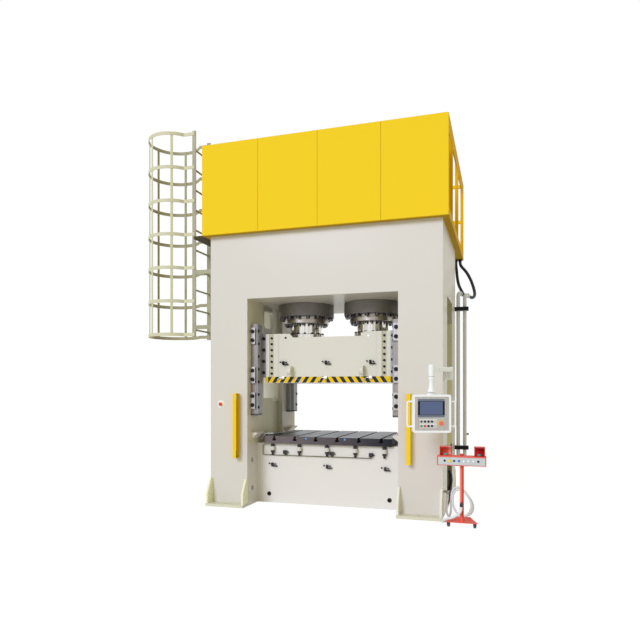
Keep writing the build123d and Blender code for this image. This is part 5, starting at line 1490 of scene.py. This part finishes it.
@dataclass
class CylinderPair:
    """The two cylinders under the crown, with their glands and screws."""

    kit: Kit
    centre_x: float = 0.535
    edge: float = 0.006
    flange_radius: float = 0.435
    flange_low: float = 2.815
    flange_high: float = 3.01
    flange_ring: float = 0.394
    flange_screw: tuple[float, float] = (0.0312, 0.038)
    flange_screws: int = 16
    barrel_radius: float = 0.32
    barrel_top: float = 4.3
    bore_radius: float = 0.25
    bore_end: float = 0.1
    gland_radius: float = 0.35
    gland_bore: float = 0.2402
    gland_low: float = 2.71
    gland_ring: float = 0.310
    gland_screw: tuple[float, float] = (0.0249, 0.032)
    gland_screws: int = 18

    def build(self) -> None:
        """Turn the barrels and glands and set their screws."""
        palette = self.kit.palette
        for name, profile, finish, node, slot in (
            ("cylinders_turned", self._barrel(), palette.flange, "cylinders", "cast_grey"),
            ("glands_turned", self._gland(), palette.gland, "gland_rings", "ground_steel"),
        ):
            piece = self.kit.turned(name, profile, mirrored(self.centre_x), finish, sides=96)
            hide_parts(node)
        for side, label in SIDES:
            x = side * self.centre_x
            for part, height, ring, count, size in (
                ("flange", self.flange_low, self.flange_ring, self.flange_screws, self.flange_screw),
                ("gland", self.gland_low, self.gland_ring, self.gland_screws, self.gland_screw),
            ):
                places = {"Start": (x, 0.0, height), "Ring Radius": ring}
                name = f"{part}_screws_{label}"
                self.kit.rings.fit(name, places, count, size, DOWN, palette.bolts, sides=14)

    def _barrel(self) -> Outline:
        """The profile of a cylinder with its flange and bore.

        Returns:
            Radius and height pairs.
        """
        edge = self.edge
        return [
            (self.bore_radius, self.flange_low + edge),
            (self.bore_radius + edge, self.flange_low),
            (self.flange_radius - edge, self.flange_low),
            (self.flange_radius, self.flange_low + edge),
            (self.flange_radius, self.flange_high - edge),
            (self.flange_radius - edge, self.flange_high),
            (self.barrel_radius, self.flange_high),
            (self.barrel_radius, self.barrel_top - edge),
            (self.barrel_radius - edge, self.barrel_top),
            (0.0, self.barrel_top),
            (0.0, self.barrel_top - self.bore_end),
            (self.bore_radius, self.barrel_top - self.bore_end),
            (self.bore_radius, self.flange_low + edge),
        ]

    def _gland(self) -> Outline:
        """The profile of a gland ring with the groove round it.

        Returns:
            Radius and height pairs.
        """
        outer, low = self.gland_radius, self.gland_low
        return [
            (self.gland_bore, low + 0.004),
            (0.246, low),
            (outer - 0.005, low),
            (outer, low + 0.005),
            (outer, low + 0.058),
            (outer - 0.004, low + 0.062),
            (outer - 0.004, low + 0.068),
            (outer, low + 0.072),
            (outer, self.flange_low),
            (self.gland_bore, self.flange_low),
            (self.gland_bore, low + 0.004),
        ]


@dataclass
class CornerGuides:
    """The four rails, with their adjuster bolts and running-face screws."""

    kit: Kit
    face_x: float = 1.0
    screw_y: float = 0.823
    screw_low: float = 1.431
    screw_pitch: float = 0.187
    screw_count: int = 7
    screw_size: tuple[float, float] = (0.021, 0.008)
    block_x: float = 1.0575
    block_side: float = 1.0185
    block_front: float = 0.914
    block_middles: tuple[float, ...] = (1.531, 1.905, 2.478)
    bolt_half_pitch: float = 0.065
    side_y: float = 0.897
    side_steps: tuple[int, ...] = (0, 1, 2, 3, 5, 6)
    key_steps: tuple[int, ...] = (0, 2, 5)
    key_x: tuple[float, float] = (1.0155, 1.0187)
    key_y: tuple[float, float] = (0.893, 0.902)
    key_gap: float = 0.01

    def build(self) -> None:
        """Dress the rails and set their bolts and screws."""
        palette = self.kit.palette
        self.kit.dress(palette.rails, "guide_rails")
        heads, sides, keys = [], [], []
        for side, side_name in SIDES:
            inward = (-side, 0.0, 0.0)
            for end, end_name in ((-1, "front"), (1, "rear")):
                face = (side * self.face_x, end * self.screw_y)
                top = self._height(self.screw_count - 1)
                places = {"Start": (*face, self._height(0)), "End": (*face, top)}
                name = f"rail_screws_{side_name}_{end_name}"
                self.kit.rows.fit(
                    name, places, self.screw_count, self.screw_size, inward, palette.black, sides=12
                )
                x, y = side * self.block_x, end * self.block_front
                for middle in self.block_middles:
                    for height in (middle - self.bolt_half_pitch, middle + self.bolt_half_pitch):
                        heads.append(axis_place((x, y, height), (0.0, end, 0.0)))
                x, y = side * self.block_side, end * self.side_y
                sides += [axis_place((x, y, self._height(step)), inward) for step in self.side_steps]
                near, far = sorted(side * x for x in self.key_x)
                front, back = sorted(end * y for y in self.key_y)
                for low in (self._height(step) for step in self.key_steps):
                    top = low + self.screw_pitch - self.key_gap
                    keys.append(((near, front, low + self.key_gap), (far, back, top)))
        self.kit.turned("adjuster_bolts", socket_head(0.0285, 0.0155), heads, palette.black, sides=24)
        self.kit.turned("adjuster_side_screws", socket_head(0.016, 0.008), sides, palette.black, sides=16)
        self.kit.blocks("adjuster_keys", keys, palette.black, edge=0.0008)

    def _height(self, step: int) -> float:
        """The height of one screw of a rail."""
        return self.screw_low + step * self.screw_pitch


@dataclass
class PowerDeck:
    """Deck, guard and power pack."""

    kit: Kit
    motor_x: float = 1.1
    motor_y: float = 0.42
    motor_length: float = 0.62
    axis_height: float = 4.33
    motor_radius: float = 0.19
    fin_count: int = 36
    fin_height: float = 0.022
    fin_thickness: float = 0.004
    fin_middle: float = 0.008
    fin_inset: float = 0.16

    def build(self) -> None:
        """Dress the deck and add the motors' ribs."""
        palette = self.kit.palette
        self.kit.dress(palette.deck, "deck")
        self.kit.dress(palette.yellow, "guard_frame", "guard_panels")
        self.kit.dress(palette.tank, "oil_tank")
        self.kit.dress(palette.motor, "power_units")
        self.kit.dress(palette.block, "valve_block")
        for side, label in SIDES:
            inputs = {
                "Count": self.fin_count,
                "Centre": (side * self.motor_x, self.motor_y + self.motor_length / 2, self.axis_height),
                "Facing": facing((0.0, 1.0, 0.0)),
                "Ring Radius": self.motor_radius + self.fin_middle,
                "Length": self.motor_length - self.fin_inset,
                "Height": self.fin_height,
                "Thickness": self.fin_thickness,
            }
            self.kit.fins.grow(f"motor_fins_{label}", inputs, palette.motor)


@dataclass
class LadderAndCage:
    """The ladder and its safety cage."""

    kit: Kit
    root_x: float = -2.043
    centre: tuple[float, float] = (-2.540, -0.610)
    half_root: float = 0.243
    radius: float = 0.396
    low: float = 2.508
    hoops: int = 7
    pitch: float = 0.510
    hoop_size: tuple[float, float] = (0.008, 0.050)
    strap_size: tuple[float, float] = (0.007, 0.040)
    strap_angles: tuple[float, ...] = (115.0, 62.0, 20.0, -18.0, -86.0)
    steps: int = 48

    def build(self) -> None:
        """Dress the ladder and build the cage's round hoops and straps."""
        self.kit.dress(self.kit.palette.ladder, "ladder")
        builder = bmesh.new()
        for index in range(self.hoops):
            self._add_hoop(builder, self.low + index * self.pitch)
        for angle in self.strap_angles:
            self._add_strap(builder, math.radians(angle))
        piece = finish_builder("cage_bars", builder, self.kit.palette.cage, Body.PRESS)
        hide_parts("ladder_cage")

    def _round(self, radius: float, angle: float) -> Vector:
        """A point round the cage. Its angle runs from the outermost point towards the front."""
        x, y = self.centre
        return Vector((x - radius * math.cos(angle), y - radius * math.sin(angle), 0.0))

    def _hoop_line(self) -> list[Vector]:
        """The middle line of a hoop, from one stringer round to the other.

        Returns:
            Points at height nought.
        """
        reach = math.pi - math.asin(self.half_root / self.radius)
        angles = (reach - 2 * reach * step / self.steps for step in range(self.steps + 1))
        front = Vector((self.root_x, self.centre[1] - self.half_root, 0.0))
        rear = Vector((self.root_x, self.centre[1] + self.half_root, 0.0))
        return [front, *(self._round(self.radius, angle) for angle in angles), rear]

    def _add_hoop(self, builder: bmesh.types.BMesh, height: float) -> None:
        """Bend one flat bar along the hoop's line.

        Args:
            builder: The bmesh to add to.
            height: The bar's lower edge.
        """
        line = self._hoop_line()
        half, tall = self.hoop_size[0] / 2, self.hoop_size[1]
        rings = []
        for index, point in enumerate(line):
            before = (point - line[max(index - 1, 0)]).normalized()
            after = (line[min(index + 1, len(line) - 1)] - point).normalized()
            along = (before + after).normalized()
            side = Vector((-along.y, along.x, 0.0))
            rings.append([
                builder.verts.new(point + side * shift + Vector((0.0, 0.0, height + rise)))
                for shift, rise in ((-half, 0.0), (half, 0.0), (half, tall), (-half, tall))
            ])
        bridge(builder, rings, ends=True)

    def _add_strap(self, builder: bmesh.types.BMesh, angle: float) -> None:
        """Stand one upright strap inside the hoops.

        Args:
            builder: The bmesh to add to.
            angle: Its place round the cage in radians.
        """
        inner = self.radius - self.hoop_size[0] / 2 - self.strap_size[0] / 2
        place = Matrix.Translation(self._round(inner, angle)) @ Matrix.Rotation(math.pi + angle, 4, "Z")
        thick, wide = self.strap_size[0] / 2, self.strap_size[1] / 2
        top = self.low + (self.hoops - 1) * self.pitch + self.hoop_size[1]
        add_soft_box(builder, (-thick, -wide, self.low), (thick, wide, top), 0.0015, place)


@dataclass
class LightCurtain:
    """The guards of the light curtain and the emergency stop beside them."""

    kit: Kit
    stop: tuple[float, float] = (-1.52, 1.478)
    plate_front: float = -1.005
    ring_front: float = -1.021
    lead: tuple[Point, ...] = (
        (-1.262, -1.088, 1.57), (-1.258, -1.088, 1.612), (-1.238, -1.088, 1.614), (-1.236, -1.088, 1.54),
    )
    cable: tuple[Point, ...] = (
        (-1.262, -1.088, 0.90), (-1.260, -1.092, 0.85), (-1.236, -1.094, 0.80), (-1.240, -1.088, 0.712),
    )

    def build(self) -> None:
        """Dress the guards and the stop, then add the wires and the stop's plate and ring."""
        palette = self.kit.palette
        self.kit.dress(palette.curtain, "curtain_guards")
        self.kit.dress(palette.stop_plate, "column_stop_box")
        self.kit.dress(palette.red, "column_emergency_stop")
        self.kit.lines("sensor_lead", [self.lead], palette.key, radius=0.005, bend=0.01)
        self.kit.lines("sensor_cable", [self.cable], palette.knob_black, radius=0.008, bend=0.02)
        plate = [(0.030, 0.0), (0.056, 0.0), (0.056, 0.002), (0.054, 0.004), (0.030, 0.004), (0.030, 0.0)]
        ring = [(0.026, 0.0), (0.034, 0.0), (0.034, 0.003), (0.026, 0.003), (0.026, 0.0)]
        for name, profile, y, finish in (
            ("column_stop_plate", plate, self.plate_front, palette.white),
            ("column_stop_ring", ring, self.ring_front, palette.knob_yellow),
        ):
            self.kit.turned(name, profile, [axis_place((self.stop[0], y, self.stop[1]), FRONT)], finish)


@dataclass(frozen=True)
class Line:
    """One hose: its control points in metres, size and declared facts."""

    name: str
    node: str
    diameter: float
    length: float
    points: tuple[Point, ...]


@dataclass
class Piping:
    """Return pipes, clamps, hoses and the stand's conduit."""

    kit: Kit
    inner: Line = Line(
        "hose_inner_line", "hose_inner", 0.050, 0.965,
        (
            (1.655, 1.640, 3.914), (1.655, 1.640, 3.850), (1.668, 1.612, 3.765), (1.682, 1.556, 3.625),
            (1.712, 1.470, 3.478), (1.756, 1.380, 3.379), (1.791, 1.300, 3.312), (1.812, 1.230, 3.268),
            (1.793, 1.159, 3.252), (1.771, 1.080, 3.260),
        ),
    )
    outer: Line = Line(
        "hose_outer_line", "hose_outer", 0.050, 1.063,
        (
            (1.725, 1.640, 3.914), (1.725, 1.640, 3.862), (1.758, 1.628, 3.808), (1.832, 1.598, 3.722),
            (1.900, 1.560, 3.594), (1.951, 1.500, 3.452), (1.983, 1.420, 3.325), (1.980, 1.345, 3.252),
            (1.951, 1.262, 3.216), (1.919, 1.180, 3.220), (1.890, 1.100, 3.226),
        ),
    )
    conduit: Line = Line(
        "conduit_line", "conduit", 0.028, 3.115,
        (
            (1.737, -0.840, 0.303), (1.737, -0.840, 0.245), (1.732, -0.890, 0.205), (1.733, -0.960, 0.148),
            (1.740, -0.985, 0.080), (1.755, -0.950, 0.026), (1.770, -0.890, 0.022), (1.781, -0.852, 0.072),
            (1.782, -0.848, 0.190), (1.786, -0.849, 0.300), (1.802, -0.850, 0.362), (1.836, -0.851, 0.396),
            (1.890, -0.852, 0.398), (1.948, -0.854, 0.360), (2.006, -0.858, 0.290), (2.060, -0.866, 0.202),
            (2.070, -0.880, 0.128), (2.040, -0.895, 0.062), (1.958, -0.905, 0.030), (1.878, -0.906, 0.046),
            (1.828, -0.908, 0.120), (1.808, -0.912, 0.200), (1.808, -0.916, 0.282), (1.830, -0.921, 0.356),
            (1.882, -0.926, 0.388), (1.950, -0.932, 0.362), (2.018, -0.942, 0.290), (2.056, -0.956, 0.205),
            (2.040, -0.976, 0.110), (1.970, -1.002, 0.046), (1.880, -1.034, 0.022), (1.800, -1.084, 0.018),
            (1.742, -1.164, 0.018), (1.714, -1.272, 0.022), (1.722, -1.368, 0.052), (1.765, -1.428, 0.095),
            (1.828, -1.464, 0.114), (1.892, -1.478, 0.148), (1.938, -1.470, 0.186), (1.956, -1.455, 0.222),
            (1.956, -1.455, 0.262),
        ),
    )
    tap_place: Point = (1.875, 0.975, 0.971)

    def build(self) -> None:
        """Dress the pipes and lay the three lines."""
        palette = self.kit.palette
        self.kit.dress(palette.pipe, "return_pipes")
        self.kit.dress(palette.clamp, "pipe_clamps")
        tap = [
            (0.0, -0.008), (0.009, -0.008), (0.009, 0.012), (0.020, 0.014), (0.020, 0.028), (0.017, 0.031),
            (0.0, 0.031),
        ]
        self.kit.turned("pipe_tap", tap, [axis_place(self.tap_place, (1.0, 0.0, 0.0))], palette.black)
        self._lay(self.inner, palette.hose)
        self._lay(self.outer, palette.hose)
        self._lay(self.conduit, palette.sleeve)

    def _lay(self, line: Line, material: bpy.types.Material) -> None:
        """Lay one hose as a smooth curve through its control points.

        Args:
            line: The hose.
            material: Its finish.
        """
        curve = bpy.data.curves.new(line.name, "CURVE")
        curve.dimensions = "3D"
        curve.bevel_depth = line.diameter / 2
        curve.bevel_resolution = 5
        curve.resolution_u = 10
        curve.use_fill_caps = True
        spline = curve.splines.new("NURBS")
        spline.points.add(len(line.points) - 1)
        for control, place in zip(spline.points, line.points):
            control.co = (*place, 1.0)
        spline.order_u = 3
        spline.use_endpoint_u = True
        curve.materials.append(material)
        piece = bpy.data.objects.new(line.name, curve)
        bpy.context.scene.collection.objects.link(piece)
        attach(piece, Body.PRESS)
        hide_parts(line.node)
        LOG.info("laid %s, %.3f m", line.name, line.length)


@dataclass
class OperatorPanel:
    """The swinging arm with the operator panel."""

    kit: Kit
    middle: Point = (1.618, -1.670, 1.4045)
    turn: float = math.radians(17.5)
    face_out: float = 0.0415
    columns: tuple[float, ...] = (-0.127, -0.085, -0.043, -0.001, 0.041)
    rows: tuple[float, float] = (-0.094, -0.148)
    lamp_out: float = 0.012
    stop: tuple[float, float] = (0.109, -0.116)
    seal_growth: float = 1.45
    boot_height: float = 1.660

    def build(self) -> None:
        """Dress the arm, the panel and its controls."""
        palette = self.kit.palette
        dress = self.kit.dress
        dress(palette.arm, "pendant_bracket", "pendant_arm", "pendant_hanger")
        dress(palette.housing, "panel_housing")
        dress(palette.panel_steel, "panel_face")
        dress(palette.screen, "panel_screen")
        dress(palette.selector, "panel_selector")
        dress(palette.knob_black, *(f"panel_button_{place}" for place in ("left", "middle", "right")))
        dress(palette.knob_black, *(f"panel_lower_button_{place}" for place in ("left", "right")))
        dress(palette.green, "panel_start_button")
        dress(palette.red, "panel_stop_button")
        dress(palette.stop_head, "panel_emergency_stop")
        self._face_trim()
        self._arm_rings()

    def _on_panel(self, x: float, y: float, out: float = 0.0) -> Matrix:
        """A place on the panel's face plate.

        Args:
            x: To the right of the panel's middle.
            y: Above the panel's middle.
            out: In front of the face plate.

        Returns:
            The matrix, with local Z out of the face.
        """
        turn = Matrix.Rotation(self.turn, 4, "Z") @ Matrix.Rotation(math.radians(90.0), 4, "X")
        return Matrix.Translation(self.middle) @ turn @ Matrix.Translation((x, y, self.face_out + out))

    def _face_trim(self) -> None:
        """Put the legend plates, the lamps' lenses and the stop's ring on the face."""
        palette = self.kit.palette
        legends = [
            ((x - 0.0195, y - 0.024, 0.0), (x + 0.0195, y + 0.026, 0.0012))
            for x in self.columns
            for y in self.rows
        ]
        face = self._on_panel(0.0, 0.0)
        self.kit.blocks("panel_legends", legends, palette.legend, Body.PANEL, face, edge=0.0005)
        lenses = [self._on_panel(self.columns[-1], y, self.lamp_out) for y in self.rows]
        self.kit.turned("panel_lenses", LENS, lenses, palette.lens, Body.PANEL)
        ring = [
            (0.0195, 0.0), (0.036, 0.0), (0.036, 0.0015), (0.035, 0.0025), (0.0195, 0.0025), (0.0195, 0.0),
        ]
        self.kit.turned("panel_stop_ring", ring, [self._on_panel(*self.stop)], palette.stop_ring, Body.PANEL)

    def _arm_rings(self) -> None:
        """Put the seals and the boot between the parts of the arm."""
        palette = self.kit.palette
        x, y, _ = self.middle
        seal = [(0.020, -0.003), (0.0375, -0.003), (0.0375, 0.003), (0.020, 0.003), (0.020, -0.003)]
        wide = [(radius * self.seal_growth, level) for radius, level in seal]
        boot = [
            (0.0, 0.0), (0.046, 0.0), (0.048, 0.006), (0.046, 0.020), (0.036, 0.052), (0.031, 0.082),
            (0.0265, 0.108), (0.0255, 0.184), (0.0, 0.184),
        ]
        for name, profile, height, finish, body in (
            ("hanger_seal", seal, 1.848, palette.seal, Body.ARM),
            ("foot_seal", wide, 1.649, palette.seal, Body.PANEL),
            ("hanger_boot", boot, self.boot_height, palette.arm, Body.ARM),
        ):
            self.kit.turned(name, profile, [Matrix.Translation((x, y, height))], finish, body)


@dataclass
class ControlStand:
    """The two-hand control stand."""

    kit: Kit
    castors: tuple[str, ...] = ("left", "right", "rear")
    lens_places: tuple[float, float] = (2.0417, 2.0989)
    lens_front: float = -1.477
    lens_height: float = 0.821
    rim: tuple[tuple[Point, Point], ...] = (
        ((1.664, -1.4795, 0.765), (1.6745, -1.46, 0.872)),
        ((2.2375, -1.4795, 0.765), (2.248, -1.46, 0.872)),
        ((1.664, -1.4805, 0.8655), (2.248, -1.46, 0.881)),
        ((1.664, -1.4795, 0.763), (2.248, -1.46, 0.7685)),
    )

    def build(self) -> None:
        """Dress the stand and its controls."""
        palette = self.kit.palette
        dress = self.kit.dress
        dress(palette.stand, "stand_base", "stand_box")
        dress(palette.stand_panel, "stand_face")
        dress(palette.knob_black, "stand_selector_left", "stand_button_black", "stand_button_end")
        dress(palette.knob_yellow, "stand_yellow_stop")
        dress(palette.blue, "stand_button_blue")
        dress(palette.white, "stand_selector_right")
        dress(palette.red, "stand_emergency_stop")
        dress(palette.palm, "palm_button_left", "palm_button_right")
        dress(palette.zinc, *(f"castor_fork_{place}" for place in self.castors))
        dress(palette.tread, *(f"castor_wheel_{place}" for place in self.castors))
        self.kit.blocks("stand_rim", self.rim, palette.stand, edge=0.0015)
        lenses = [axis_place((x, self.lens_front, self.lens_height), FRONT) for x in self.lens_places]
        self.kit.turned("stand_lenses", LENS, lenses, palette.white)


@dataclass
class Studio:
    """Camera, floor, world and lamp."""

    camera_place: Point = (2.45207, -8.79331, 1.7)
    yaw: float = 17.44
    lens: float = 32.94
    sensor: float = 36.0
    shift: float = 0.1078
    clip_end: float = 200.0
    ambient: float = 0.50
    ambient_colour: Colour = (1.0, 0.965, 0.66)
    sun_strength: float = 1.5
    sun_colour: Colour = (0.90, 0.96, 1.22)
    sun_way: Point = (0.28, 0.86, -0.42)
    sun_width: float = 24.0
    floor_colour: Colour = (0.88, 0.88, 0.87)
    floor_glow: float = 1.07
    floor_share: float = 0.90
    floor_reach: float = 60.0
    floor_level: float = -0.001

    def build(self) -> None:
        """Set up the studio."""
        bpy.context.scene.view_settings.view_transform = "Standard"
        self._camera()
        self._world()
        self._floor()
        self._sun()

    def _camera(self) -> None:
        """Place the camera of the photograph."""
        data = bpy.data.cameras.new("camera")
        data.lens = self.lens
        data.sensor_width = self.sensor
        data.shift_y = self.shift
        data.clip_end = self.clip_end
        camera = bpy.data.objects.new("camera", data)
        camera.location = self.camera_place
        camera.rotation_euler = (math.radians(90.0), 0.0, math.radians(self.yaw))
        bpy.context.scene.collection.objects.link(camera)
        bpy.context.scene.camera = camera

    def _fill(self, holder: Any, share: float, lit: Recipe, plain: Recipe, output: str) -> None:
        """Shade the world or the floor one way for its light and another way for rays that see it plainly.

        Args:
            holder: The world or the material.
            share: How much of the plain shader such rays see.
            lit: Type and sockets of the shader that gives or takes light.
            plain: Type and sockets of the shader that is seen.
            output: Type of the output node.
        """
        holder.use_nodes = True
        graph = Graph(holder.node_tree)
        graph.tree.nodes.clear()
        path = graph.node("ShaderNodeLightPath")
        rays = ("Is Camera Ray", "Is Glossy Ray", "Is Transmission Ray")
        camera, glossy, through = (Term(graph, path.outputs[name]) for name in rays)
        seen = (camera + glossy + through) * share
        first, second = (graph.term(kind, None, values) for kind, values in (lit, plain))
        mixed = graph.term("ShaderNodeMixShader", None, {0: seen, 1: first, 2: second})
        graph.node(output, None, {"Surface": mixed})

    def _world(self) -> None:
        """Light from all round, with a white background."""
        world = bpy.data.worlds.new("studio")
        soft = ("ShaderNodeBackground", {"Color": (*self.ambient_colour, 1.0), "Strength": self.ambient})
        white = ("ShaderNodeBackground", {"Color": WHITE, "Strength": 1.0})
        self._fill(world, 1.0, soft, white, "ShaderNodeOutputWorld")
        bpy.context.scene.world = world

    def _floor(self) -> None:
        """A pale floor that keeps the object's shadow."""
        material = bpy.data.materials.new("studio_floor")
        matte = ("ShaderNodeBsdfDiffuse", {"Color": (*self.floor_colour, 1.0)})
        glow = ("ShaderNodeEmission", {"Color": WHITE, "Strength": self.floor_glow})
        self._fill(material, self.floor_share, matte, glow, "ShaderNodeOutputMaterial")
        mesh = bpy.data.meshes.new("floor")
        signs = ((-1, -1), (1, -1), (1, 1), (-1, 1))
        corners = [(x * self.floor_reach, y * self.floor_reach, self.floor_level) for x, y in signs]
        mesh.from_pydata(corners, [], [(0, 1, 2, 3)])
        mesh.materials.append(material)
        floor = bpy.data.objects.new("floor", mesh)
        bpy.context.scene.collection.objects.link(floor)

    def _sun(self) -> None:
        """A broad key light from the front left."""
        data = bpy.data.lights.new("key", "SUN")
        data.energy = self.sun_strength
        data.angle = math.radians(self.sun_width)
        data.color = self.sun_colour
        lamp = bpy.data.objects.new("key", data)
        lamp.rotation_euler = Vector(self.sun_way).to_track_quat("-Z", "Y").to_euler()
        bpy.context.scene.collection.objects.link(lamp)


def main() -> None:
    """Build the press's looks and the studio."""
    logging.basicConfig(level=logging.INFO, format="%(name)s %(message)s")
    Studio().build()
    kit = Kit()
    for group in (
        Piping(kit),
        WeldedFrame(kit),
        SlideGroup(kit),
        CylinderPair(kit),
        CornerGuides(kit),
        PowerDeck(kit),
        LadderAndCage(kit),
        LightCurtain(kit),
        OperatorPanel(kit),
        ControlStand(kit),
    ):
        group.build()
        LOG.info("built %s", type(group).__name__)


if __name__ == "__main__":
    main()
